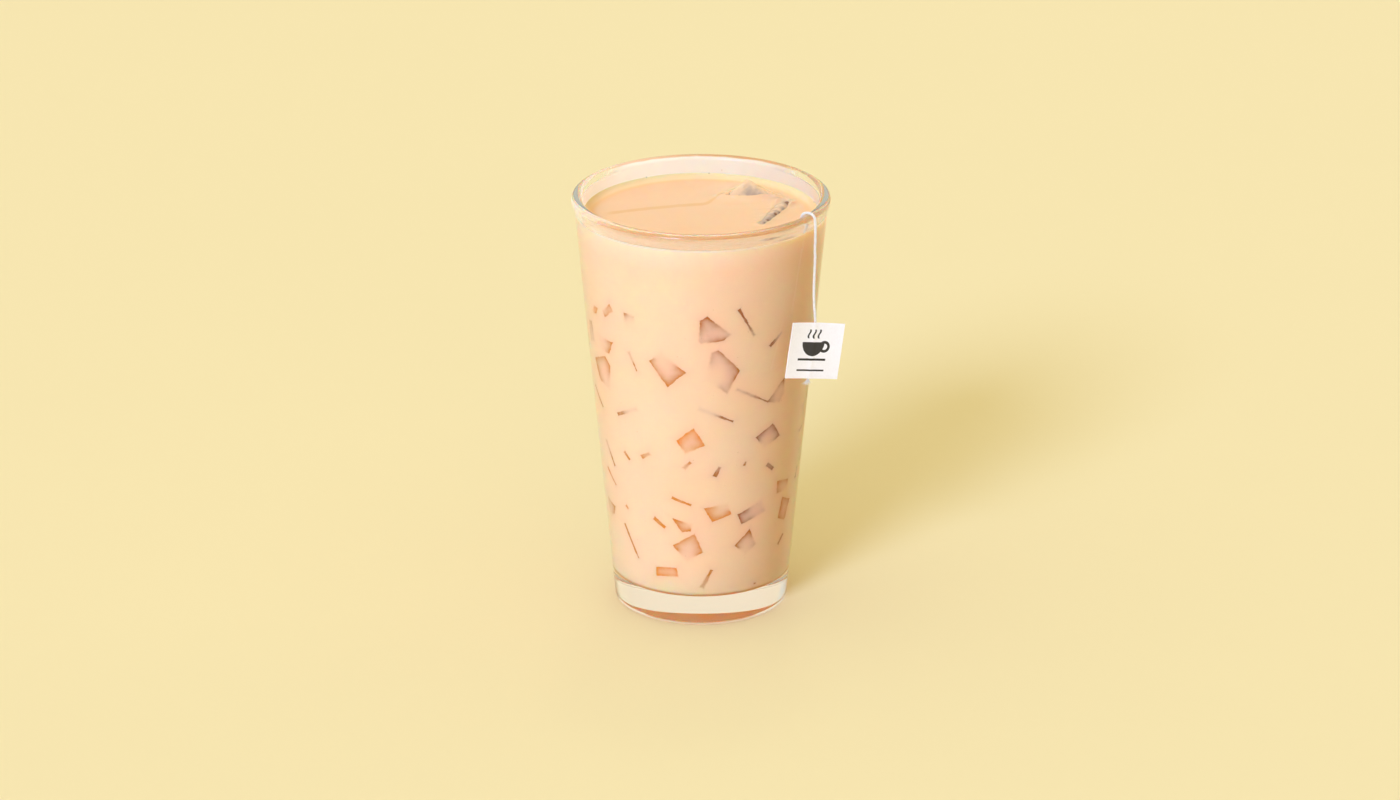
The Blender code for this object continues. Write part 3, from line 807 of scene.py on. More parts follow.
def paper_material(settings):
    """Matt paper with a plain cup pictogram, read from the tag's own map in millimetres."""
    made, wires, shader = new_material("tag_paper", Specular_IOR_Level=0.3)
    where = wires.place()
    fibre = wires.group(GROUPS["fibres"], Where=where, Scale=2600.0, Stretch=(1.0, 1.0, 0.5))["Value"]
    flat = wires.node("UVMap", {"uv_map": "tag_print"}).outputs[0]
    axes = wires.node("SeparateXYZ", Vector=flat).outputs
    across, down = axes[0], axes[1]

    def disc(x, y, radius, squash=1.0):
        """Distance inside a disc or an oval, in millimetres."""
        right = wires.math("SUBTRACT", across, x)
        under = wires.math("DIVIDE", wires.math("SUBTRACT", down, y), squash)
        apart = wires.math("SQRT", wires.math("ADD", wires.math("POWER", right, 2.0), wires.math("POWER", under, 2.0)))
        return wires.math("SUBTRACT", radius, apart)

    def box(x, y, half_width, half_height):
        right = wires.math("SUBTRACT", half_width, wires.math("ABSOLUTE", wires.math("SUBTRACT", across, x)))
        under = wires.math("SUBTRACT", half_height, wires.math("ABSOLUTE", wires.math("SUBTRACT", down, y)))
        return wires.math("MINIMUM", right, under)

    cup_x, cup_y, size = settings.mark_across, settings.mark_down, settings.mark_size
    handle_x, handle_y = cup_x + 3.3 * size, cup_y + 1.2 * size
    bowl = wires.math("MINIMUM", disc(cup_x, cup_y, 3.3 * size, 1.15), wires.math("SUBTRACT", down, cup_y))
    hole = wires.math("MULTIPLY", disc(handle_x, handle_y, 0.85 * size), -1.0)
    ring = wires.math("MINIMUM", disc(handle_x, handle_y, 1.6 * size), hole)
    saucer = box(cup_x, cup_y + 4.7 * size, 4.1 * size, 0.3 * size)
    ink = wires.math("MAXIMUM", wires.math("MAXIMUM", bowl, ring), saucer)
    for offset in (-1.5, 0.0, 1.5):
        sway = wires.math("MULTIPLY", wires.math("SINE", wires.math("MULTIPLY", down, 2.2 / size)), 0.28 * size)
        apart = wires.math("SUBTRACT", wires.math("ADD", across, sway), cup_x + offset * size)
        wisp = wires.math("SUBTRACT", 0.26 * size, wires.math("ABSOLUTE", apart))
        short = wires.math("MINIMUM", wisp, box(cup_x, cup_y - 2.2 * size, 4.0 * size, 1.2 * size))
        ink = wires.math("MAXIMUM", ink, short)
    ink = wires.math("MAXIMUM", ink, box(cup_x, settings.bar_down, 5.2, 0.3))
    printed = wires.spread(wires.math("ADD", ink, wires.math("MULTIPLY", wires.math("SUBTRACT", fibre, 0.5), 0.12)), -0.05, 0.05)
    paper = wires.mix(wires.spread(fibre, 0.25, 0.75), tuple(c * 0.94 for c in settings.paper), settings.paper)
    wires.put(shader["Base Color"], wires.mix(wires.math("MULTIPLY", printed, 0.97), paper, settings.ink))
    wires.put(shader["Roughness"], wires.spread(fibre, 0.2, 0.8, 0.9, 0.7))
    wires.put(shader["Normal"], wires.bump(fibre, 0.25, 0.05 * MM))
    return made


def film_material(settings):
    """A milk film on the glass, dense at the back and thin at the front, with a dried line at the crest."""
    made, wires, shader = new_material(
        "milk_film", Roughness=0.3, IOR=1.34, Subsurface_Weight=0.5, Subsurface_Scale=0.4 * MM
    )
    where = wires.place()
    axes = wires.node("SeparateXYZ", Vector=where).outputs
    behind = wires.spread(axes[1], -16.0 * MM, 4.0 * MM, settings.film_front, settings.film_back)
    patchy = wires.spread(wires.noise(where, 90.0, 2.0), 0.3, 0.7, 0.95, 1.0)
    wander = wires.math("MULTIPLY", wires.math("SUBTRACT", wires.noise(where, 160.0, 2.0), 0.5), 0.4 * MM)
    top = wires.math("ADD", axes[2], wander)
    dried = wires.spread(top, HEIGHT - 0.5 * MM, HEIGHT - 0.15 * MM)
    squares = wires.math("ADD", wires.math("MULTIPLY", axes[0], axes[0]), wires.math("MULTIPLY", axes[1], axes[1]))
    outer = wires.math("GREATER_THAN", squares, RIM_MIDDLE**2)
    ahead = wires.spread(axes[1], -14.0 * MM, -36.0 * MM)
    lip = wires.math("MULTIPLY", wires.spread(top, HEIGHT - 0.1 * MM, HEIGHT - 0.45 * MM), outer)
    dots = wires.group(GROUPS["specks"], Where=where, Cell=420.0, Size=0.1, Share=0.1)["Mask"]
    marks = wires.math("MAXIMUM", wires.math("MULTIPLY", dried, 0.5), wires.math("MULTIPLY", dots, 0.5))
    sideways = wires.spread(wires.math("ABSOLUTE", axes[0]), 24.0 * MM, 36.0 * MM)
    bare = wires.math("MULTIPLY", sideways, wires.spread(top, HEIGHT - 2.4 * MM, HEIGHT - 1.4 * MM))
    covered = wires.math("MAXIMUM", wires.math("MULTIPLY", behind, patchy), marks)
    inside = wires.math("MULTIPLY", covered, wires.math("SUBTRACT", 1.0, wires.math("MAXIMUM", outer, bare)))
    wires.put(shader["Alpha"], wires.math("MAXIMUM", inside, wires.math("MULTIPLY", wires.math("MULTIPLY", lip, ahead), 0.45)))
    sunny = wires.spread(axes[0], 0.0, 34.0 * MM)
    milk = wires.mix(ahead, wires.mix(sunny, settings.film, settings.film_right), settings.film_ahead)
    stained = wires.math("MAXIMUM", wires.math("MAXIMUM", dried, dots), outer)
    wires.put(shader["Base Color"], wires.mix(stained, milk, settings.dried))
    wires.put(shader["Emission Color"], (0.9, 0.85, 0.85))
    glow = wires.spread(axes[0], 10.0 * MM, -36.0 * MM, 0.0, settings.film_glow)
    wires.put(shader["Emission Strength"], wires.math("MULTIPLY", glow, wires.math("SUBTRACT", 1.0, ahead)))
    return made


def droplet_material(colour):
    made, wires, shader = new_material("milk_droplet", IOR=1.34, Subsurface_Weight=0.5, Subsurface_Scale=1.0 * MM)
    cloud = wires.noise(wires.place(), 700.0, 2.0)
    wires.put(shader["Base Color"], wires.mix(cloud, colour, tuple(c * 0.9 for c in colour)))
    wires.put(shader["Roughness"], wires.spread(cloud, 0.2, 0.8, 0.03, 0.12))
    return made


def floor_material(colour):
    made, wires, shader = new_material("pale_floor", Roughness=0.9, Specular_IOR_Level=0.0)
    grain = wires.noise(wires.place(), 9.0, 2.0)
    wires.put(shader["Base Color"], wires.mix(grain, colour, tuple(c * 0.99 for c in colour)))
    return made


class LatteGlassSettings(bpy.types.PropertyGroup):
    colour: FloatVectorProperty(
        name="Glass colour", description="Tint of the clear glass", subtype="COLOR", default=(0.985, 0.995, 0.985)
    )
    steps: IntProperty(name="Steps round", description="Facets round the glass", default=192, min=64)


class LatteDrinkSettings(bpy.types.PropertyGroup):
    level: FloatProperty(
        name="Level", description="Height of the flat surface", default=DRINK_LEVEL, unit="LENGTH"
    )
    scatter: FloatProperty(
        name="Scatter", description="How far light spreads in the drink", default=14.0 * MM, unit="LENGTH"
    )
    milk: FloatVectorProperty(
        name="Milk", description="Paler colour of the drink", subtype="COLOR", default=(0.997, 0.678, 0.392)
    )
    tea: FloatVectorProperty(
        name="Tea", description="Stronger colour of the drink", subtype="COLOR", default=(0.996, 0.644, 0.358)
    )
    surface_milk: FloatVectorProperty(
        name="Surface milk", description="Paler colour on top", subtype="COLOR", default=(0.83, 0.535, 0.305)
    )
    surface_tea: FloatVectorProperty(
        name="Surface tea", description="Stronger colour on top", subtype="COLOR", default=(0.82, 0.51, 0.275)
    )
    surface_ice: FloatVectorProperty(
        name="Ice below", description="Ice just under the surface", subtype="COLOR", default=(0.66, 0.45, 0.29)
    )
    edge: FloatVectorProperty(
        name="Meniscus", description="Where the drink thins out at the wall", subtype="COLOR", default=(0.90, 0.55, 0.19)
    )
    drained: FloatVectorProperty(
        name="Drained", description="The thin top of the meniscus at the back", subtype="COLOR", default=(0.93, 0.66, 0.36)
    )
    ice_pale: FloatVectorProperty(
        name="Ice veil", description="Sunk ice under thin milk", subtype="COLOR", default=(0.645, 0.415, 0.325)
    )
    ice_pale_warm: FloatVectorProperty(
        name="Warm ice veil", description="The same, where it looks orange", subtype="COLOR", default=(0.79, 0.46, 0.26)
    )
    ice_dark: FloatVectorProperty(
        name="Ice edge", description="Edge of sunk ice at the wall", subtype="COLOR", default=(0.30, 0.078, 0.02)
    )
    ice_dark_warm: FloatVectorProperty(
        name="Warm ice edge", description="The same, where it looks orange", subtype="COLOR", default=(0.78, 0.25, 0.012)
    )
    seam: FloatVectorProperty(
        name="Seam", description="Where the drink meets the glass's floor", subtype="COLOR", default=(0.74, 0.36, 0.12)
    )
    pooled: FloatVectorProperty(
        name="Pooled light", description="Light that the thick base gathers under the drink", subtype="COLOR", default=(0.19, 0.037, 0.0)
    )
    ice_clearness: FloatProperty(
        name="Ice clearness", description="How strongly sunk ice shows", default=0.85, min=0.0, max=1.0
    )
    steps: IntProperty(name="Steps round", description="Facets round the drink", default=160, min=64)


class LatteTraceSettings(bpy.types.PropertyGroup):
    film: FloatVectorProperty(
        name="Milk film", description="Milk left on the wall", subtype="COLOR", default=(0.95, 0.775, 0.60)
    )
    film_right: FloatVectorProperty(
        name="Film in the sun", description="The thinner film on the right", subtype="COLOR", default=(0.86, 0.69, 0.53)
    )
    film_ahead: FloatVectorProperty(
        name="Film ahead", description="The tea-stained film in front", subtype="COLOR", default=(0.80, 0.53, 0.34)
    )
    dried: FloatVectorProperty(
        name="Dried line", description="Tea dried on the rim", subtype="COLOR", default=(0.72, 0.38, 0.15)
    )
    film_glow: FloatProperty(name="Film glow", description="Light that comes through the film on the left", default=0.30)
    film_front: FloatProperty(name="Film in front", description="Cover of the film at the front", default=0.16)
    film_back: FloatProperty(name="Film behind", description="Cover of the film at the back", default=0.85)


class LatteIceSettings(bpy.types.PropertyGroup):
    voxel: FloatProperty(name="Fineness", description="Size of the ice's facets", default=0.42 * MM, unit="LENGTH")
    foot: FloatVectorProperty(
        name="Foot", description="Ice under the drink that climbs it", subtype="COLOR", default=(0.73, 0.495, 0.31)
    )
    film: FloatVectorProperty(
        name="Milk film", description="Raised ice under a milk film", subtype="COLOR", default=(0.79, 0.55, 0.32)
    )
    film_dull: FloatVectorProperty(
        name="Thin film", description="Ice under a thinner film", subtype="COLOR", default=(0.64, 0.44, 0.28)
    )
    shade: FloatVectorProperty(
        name="Shade", description="Grey of the ice through its film", subtype="COLOR", default=(0.29, 0.225, 0.19)
    )
    bare_dark: FloatVectorProperty(
        name="Bare ice", description="Bare wet ice over the dark drink", subtype="COLOR", default=(0.09, 0.045, 0.03)
    )
    bare_brown: FloatVectorProperty(
        name="Brown ice", description="Bare ice in thin places", subtype="COLOR", default=(0.36, 0.17, 0.085)
    )


class LatteStringSettings(bpy.types.PropertyGroup):
    colour: FloatVectorProperty(
        name="Cotton colour", description="Colour of the string", subtype="COLOR", default=(0.90, 0.86, 0.80)
    )
    lay: FloatProperty(name="Lay", description="Length of one turn of the plies", default=2.3 * MM, unit="LENGTH")


class LatteTagSettings(bpy.types.PropertyGroup):
    paper: FloatVectorProperty(
        name="Paper", description="Colour of the paper", subtype="COLOR", default=(0.97, 0.93, 0.915)
    )
    ink: FloatVectorProperty(name="Ink", description="Colour of the print", subtype="COLOR", default=(0.025, 0.02, 0.012))
    mark_across: FloatProperty(name="Mark across", description="Millimetres right of the middle", default=-0.8)
    mark_down: FloatProperty(name="Mark down", description="Millimetres below the fold", default=6.7)
    mark_size: FloatProperty(name="Mark size", description="Size of the cup mark", default=1.3)
    bar_down: FloatProperty(name="Bar down", description="Millimetres below the fold", default=16.6)


class LatteStageSettings(bpy.types.PropertyGroup):
    floor: FloatVectorProperty(
        name="Floor", description="Colour of the floor", subtype="COLOR", default=(0.802, 0.681, 0.375)
    )
    sky: FloatVectorProperty(
        name="Fill", description="Colour of the soft fill light", subtype="COLOR", default=(0.862, 0.80, 0.60)
    )
    left: FloatVectorProperty(
        name="Left", description="Colour of the room low on the left", subtype="COLOR", default=(0.62, 0.70, 0.68)
    )
    right: FloatVectorProperty(
        name="Right", description="Colour of the room low on the right", subtype="COLOR", default=(0.22, 0.22, 0.19)
    )
    panel: FloatVectorProperty(
        name="Panel", description="A small bright panel high behind, for the glints", default=(4.5, 4.5, 4.3)
    )
    low: FloatVectorProperty(
        name="Low", description="Colour of the room at the height of the table", subtype="COLOR", default=(0.46, 0.31, 0.17)
    )
    behind: FloatVectorProperty(
        name="Behind", description="Colour of the room low behind", subtype="COLOR", default=(0.78, 0.67, 0.51)
    )
    fill_strength: FloatProperty(name="Fill strength", description="Strength of the soft fill light", default=1.2)
    key: FloatVectorProperty(
        name="Key", description="Colour of the key light", subtype="COLOR", default=(0.45, 0.577, 1.0)
    )
    key_strength: FloatProperty(name="Key strength", description="Strength of the key light", default=2.88)
    key_height: FloatProperty(
        name="Key height", description="Angle above the floor", default=math.radians(32.0), subtype="ANGLE"
    )
    key_size: FloatProperty(
        name="Key size", description="Angle across the key light", default=math.radians(18.0), subtype="ANGLE"
    )


class LATTE_OT_camera(bpy.types.Operator):
    """Sets the photograph's camera"""

    bl_idname = "latte.camera"
    bl_label = "Camera"

    def execute(self, context):
        down = math.radians(CAMERA_DOWN)
        ahead = Vector((0.0, math.cos(down), -math.sin(down)))
        data = bpy.data.cameras.new("camera")
        data.sensor_width = SENSOR
        data.lens = SENSOR * FOCAL_PIXELS / IMAGE_WIDTH
        data.shift_x = (IMAGE_WIDTH / 2 - CENTRE_PIXEL[0]) / IMAGE_WIDTH
        data.shift_y = (CENTRE_PIXEL[1] - IMAGE_HEIGHT / 2) / IMAGE_WIDTH
        camera = bpy.data.objects.new("camera", data)
        bpy.context.collection.objects.link(camera)
        camera.location = Vector((0.0, 0.0, CAMERA_AIM_HEIGHT)) - ahead * CAMERA_DISTANCE
        camera.rotation_euler = (math.radians(90.0 - CAMERA_DOWN), 0.0, 0.0)
        context.scene.camera = camera
        return {"FINISHED"}


class LATTE_OT_string(bpy.types.Operator):
    """Twists the string from three plies, with its fuzz, frayed end and the tag it holds"""

    bl_idname = "latte.string"
    bl_label = "String and tag"

    def execute(self, context):
        settings = context.scene.latte_string
        cotton = cotton_material(settings.colour)
        path = smooth_through(string_route(), STRING_STEP)
        cord = self.plies(path, settings.lay)
        finish_piece(cord, "cotton_string", cotton)
        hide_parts("string")
        fuzz = self.fuzz(path)
        finish_piece(fuzz, "cotton_string", cotton)
        tail = self.frayed_end()
        finish_piece(tail, "cotton_string", cotton)
        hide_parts("string_tail")
        card = folded_tag()
        finish_piece(card, "tag_paper", paper_material(context.scene.latte_tag))
        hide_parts("tag")
        return {"FINISHED"}

    def plies(self, path, lay):
        """Three plies that wind round the path."""
        ply_radius = 0.25 * MM
        offset = 0.25 * MM
        fine = smooth_through(path, lay / 14)
        lines = [[], [], []]
        side = None
        along = 0.0
        for index, point in enumerate(fine):
            ahead = fine[min(index + 1, len(fine) - 1)] - fine[max(index - 1, 0)]
            ahead.normalize()
            if side is None:
                side = ahead.orthogonal().normalized()
            side = (side - ahead * side.dot(ahead)).normalized()
            across = ahead.cross(side)
            if index:
                along += (point - fine[index - 1]).length
            slack = min(max((HEIGHT - 7.0 * MM - point.z) / (4.0 * MM), 0.0), 1.0)
            slack *= min(max((point.z - TAG_TOP_CENTRE.z - 1.5 * MM) / (4.0 * MM), 0.0), 1.0)
            kink = noise.noise(Vector((along / MM * 0.5, 3.1, 0.0))) if along > 12.0 * MM else 0.0
            point = point + Vector((0.85, -0.5, 0.0)) * kink * slack * 0.3 * MM
            for ply in range(3):
                angle = TAU * (along / lay + ply / 3)
                loose = 1.0 + 0.12 * noise.noise(Vector((along / MM * 0.9, ply * 7.0, 0.0)))
                lines[ply].append(point + (side * math.cos(angle) + across * math.sin(angle)) * offset * loose)
        return tube("string_plies", lines, ply_radius, resolution=2)

    def fuzz(self, path):
        """Short loose hairs that stand off the string."""
        rng = random.Random(11)
        hairs = []
        for number in range(46):
            start = path[rng.randrange(2, len(path) - 2)]
            heading = Vector((rng.uniform(-1, 1), rng.uniform(-1, 1), rng.uniform(-0.9, 0.5))).normalized()
            curl = Vector((rng.uniform(-1, 1), rng.uniform(-1, 1), rng.uniform(-1, 1))) * 0.35
            reach = rng.uniform(0.45, 0.95) * MM
            origin = start + heading * 0.3 * MM
            hairs.append([origin + (heading * t + curl * t * t) * reach for t in (0.0, 0.35, 0.7, 1.0)])
        return tube("string_fuzz", hairs, 0.022 * MM, resolution=0, taper=True)

    def frayed_end(self):
        """The string below the tag, untwisted into a tuft of fibres."""
        rng = random.Random(5)
        foot = tag_placing() @ Vector((TAIL_OFF_CENTRE, 0.0, -TAG_HEIGHT + 0.4 * MM))
        lean = Matrix.Rotation(math.radians(TAIL_LEAN), 3, "Y")
        down = lean @ Vector((0.0, 0.0, -1.0))
        fibres = []
        for number in range(64):
            angle = rng.uniform(0.0, TAU)
            spread = abs(rng.gauss(0.0, 0.34))
            out = Vector((math.cos(angle), math.sin(angle) * 0.7, 0.0))
            start = foot + out * rng.uniform(0.0, 0.28) * MM
            reach = TAIL_LENGTH * rng.uniform(0.75, 1.12)
            bend = Vector((rng.uniform(-1, 1), rng.uniform(-1, 1), rng.uniform(-0.2, 0.6))) * 0.16
            fibres.append(
                [start + (down * t + out * spread * t * t + bend * t**3) * reach for t in (0.0, 0.25, 0.5, 0.75, 1.0)]
            )
        return tube("string_tuft", fibres, 0.085 * MM, resolution=1, taper=True)


def folded_tag():
    """Two plies of thin paper, folded over at the top, a little curled and parted round the string."""
    ply = 0.17 * MM
    half = TAG_THICKNESS / 2 - ply / 2
    fold = arc((0.0, -half), half, half, 0.0, 180.0, 8)
    rows = 26
    points = [(half, -TAG_HEIGHT + (TAG_HEIGHT - half) * k / rows) for k in range(rows)]
    points += fold
    points += [(-half, -half - (TAG_HEIGHT - half) * (k + 1) / rows) for k in range(rows)]
    card = extruded_line("tag_card", points)
    columns = 40
    with edit_mode(card):
        bpy.ops.transform.translate(value=(0.0, -TAG_WIDTH / 2, 0.0))
        for step in range(columns):
            bpy.ops.mesh.extrude_region_move(TRANSFORM_OT_translate={"value": (0.0, TAG_WIDTH / columns, 0.0)})
        bpy.ops.mesh.select_all(action="SELECT")
        bpy.ops.mesh.normals_make_consistent(inside=False)
    shape = bmesh.new()
    shape.from_mesh(card.data)
    printed = shape.loops.layers.uv.new("tag_print")
    for face in shape.faces:
        back = face.calc_center_median().x > 0.02 * MM
        for loop in face.loops:
            place = loop.vert.co
            loop[printed].uv = (place.y / MM + (100.0 if back else 0.0), -place.z / MM)
    for vertex in shape.verts:
        depth, across, height = vertex.co
        down = -height / TAG_HEIGHT
        side = 2 * across / TAG_WIDTH
        thread = STRING_OFF_CENTRE + (TAIL_OFF_CENTRE - STRING_OFF_CENTRE) * down
        ridge = 0.16 * MM * math.exp(-(((across - thread) / (0.75 * MM)) ** 2))
        wave = 0.16 * MM * noise.noise(Vector((across * 130.0, height * 110.0, 0.7)))
        curl = TAG_CURL * side**2 * (1.0 - 0.5 * down)
        gape = 0.07 * MM * down * (1.0 + side) * (1 if depth > 0 else -1)
        vertex.co = (across, depth + gape + math.copysign(ridge, depth) + wave * down - curl, height)
    bmesh.ops.recalc_face_normals(shape, faces=shape.faces)
    shape.to_mesh(card.data)
    shape.free()
    solid = card.modifiers.new("Paper", "SOLIDIFY")
    solid.thickness = ply
    solid.offset = 0.0
    apply_modifiers(card)
    card.matrix_world = tag_placing()
    apply_place(card)
    smooth(card, 40.0)
    return card


class LATTE_OT_glass(bpy.types.Operator):
    """Spins the pint glass, with its rounded rim, thick base and hollow foot"""

    bl_idname = "latte.glass"
    bl_label = "Glass"

    def execute(self, context):
        settings = context.scene.latte_glass
        glass = turned("glass_body", self.outline(), settings.steps)
        smooth(glass, 60.0)
        finish_piece(glass, "clear_glass", glass_material(settings.colour))
        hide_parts("glass")
        return {"FINISHED"}

    def outline(self):
        rim_height = HEIGHT - BEAD_TOP
        rim_middle = (inner_radius(rim_height) + RIM_RADIUS) / 2
        rim_half = (RIM_RADIUS - inner_radius(rim_height)) / 2
        fillet = fillet_in_glass(FLOOR_FILLET, 12)
        floor = [(0.0, FLOOR)] + line_between((0.0, FLOOR), fillet[0], 4.0 * MM)[1:]
        rim = arc((rim_middle, rim_height), rim_half, BEAD_TOP, 180.0, 0.0, 32)
        inner_wall = line_between(fillet[-1], rim[0], 5.0 * MM)
        bead_foot = []
        for step in range(1, 13):
            share = step / 12
            height = rim_height - BEAD_FOOT * share
            proud = (RIM_RADIUS - outer_radius(rim_height)) * (0.5 + 0.5 * math.cos(math.pi * share))
            bead_foot.append((outer_radius(height) + proud, height))
        heel_centre = (outer_radius(HEEL_RADIUS) - HEEL_RADIUS * TAPER_SLANT, HEEL_RADIUS)
        heel = arc(heel_centre, HEEL_RADIUS, HEEL_RADIUS, -TAPER_ANGLE, -90.0, 10)
        outer_wall = line_between(bead_foot[-1], heel[0], 5.0 * MM)
        punt = arc((0.0, 0.0), RING_INNER_RADIUS, PUNT_DEPTH, 0.0, 90.0, 20)
        ring = line_between(heel[-1], punt[0], 2.0 * MM)
        return floor + fillet + inner_wall + rim + bead_foot + outer_wall + heel + ring + punt


def ice_block(name, place, size, turn, from_corner, draft):
    """A block of ice, tapered towards its sunk end and rounded by melting."""
    rotation = Matrix.Rotation(math.radians(turn[2]), 4, "Z")
    rotation @= Matrix.Rotation(math.radians(turn[1]), 4, "Y")
    rotation @= Matrix.Rotation(math.radians(turn[0]), 4, "X")
    clear_selection()
    bpy.ops.mesh.primitive_cube_add(size=1.0)
    block = bpy.context.object
    block.name = name
    with edit_mode(block):
        bpy.ops.transform.resize(value=tuple(size), center_override=(0, 0, 0))
        bm = bmesh.from_edit_mesh(block.data)
        for vertex in bm.verts:
            vertex.select_set(vertex.co.z < 0.0)
        bm.select_flush_mode()
        bmesh.update_edit_mesh(block.data)
        bpy.ops.transform.resize(value=(draft, draft, 1.0), center_override=(0, 0, -size.z / 2))
        bpy.ops.mesh.select_all(action="SELECT")
        bpy.ops.mesh.bevel(offset=1.9 * MM, segments=4, profile=0.5, affect="EDGES")
        shift = tuple(-side * half for side, half in zip(from_corner, size / 2))
        bpy.ops.transform.translate(value=shift)
    block.matrix_world = Matrix.Translation(place) @ rotation
    apply_place(block)
    return block


def melted(block, voxel):
    """Evens the facets and gives the surface the shallow hollows of melting ice."""
    remesh = block.modifiers.new("Remesh", "REMESH")
    remesh.mode = "VOXEL"
    remesh.voxel_size = voxel
    soften = block.modifiers.new("Soften", "SMOOTH")
    soften.factor = 0.5
    soften.iterations = 8
    apply_modifiers(block)
    shape = bmesh.new()
    shape.from_mesh(block.data)
    shape.normal_update()
    for vertex in shape.verts:
        place = vertex.co / MM
        dent = 0.22 * noise.noise(place * 0.35) + 0.10 * noise.noise(place * 0.9)
        vertex.co += vertex.normal * dent * MM
    shape.to_mesh(block.data)
    shape.free()


def mark_spots(piece, name, spots):
    """Stores on each vertex how near it is to the spots, which are given in plan."""
    stored = piece.data.attributes.new(name, "FLOAT", "POINT")
    values = []
    for vertex in piece.data.vertices:
        place = vertex.co / MM
        ragged = 1.0 + 0.5 * noise.noise(place * 0.9)
        nearness = 0.0
        for x, y, radius in spots:
            apart = math.hypot(place.x - x, place.y - y) / (radius * ragged)
            nearness = max(nearness, math.exp(-(apart**2)))
        values.append(nearness)
    stored.data.foreach_set("value", values)


class LATTE_OT_ice(bpy.types.Operator):
    """Carves the ice that breaks the surface, melted smooth"""

    bl_idname = "latte.ice"
    bl_label = "Ice"

    def execute(self, context):
        settings = context.scene.latte_ice
        made = ice_material(settings)
        corner_from = (-1, -1, 1)
        edge_from = (-1, 1, 1)
        corner = ice_block(
            "ice_melted", ICE_CORNER, ICE_CORNER_SIZE, ICE_CORNER_TURN, corner_from, ICE_CORNER_DRAFT
        )
        edge = ice_block("ice_low_edge", ICE_EDGE_START, ICE_EDGE_SIZE, ICE_EDGE_TURN, edge_from, 1.0)
        union = corner.modifiers.new("Frozen together", "BOOLEAN")
        union.operation = "UNION"
        union.solver = "EXACT"
        union.object = edge
        apply_modifiers(corner)
        bpy.data.objects.remove(edge)
        melted(corner, settings.voxel)
        finish_piece(corner, "milky_ice", made)
        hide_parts("ice_afloat")
        chip = ice_block("ice_chip_melted", ICE_CHIP_CENTRE, ICE_CHIP_SIZE, ICE_CHIP_TURN, (0, 0, 0), 1.0)
        melted(chip, settings.voxel * 0.8)
        finish_piece(chip, "milky_ice", made)
        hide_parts("ice_chip")
        for piece in (corner, chip):
            mark_spots(piece, "bare", ICE_BITS)
            mark_spots(piece, "shade", ICE_SHADES)
            smooth(piece, 80.0)
        return {"FINISHED"}


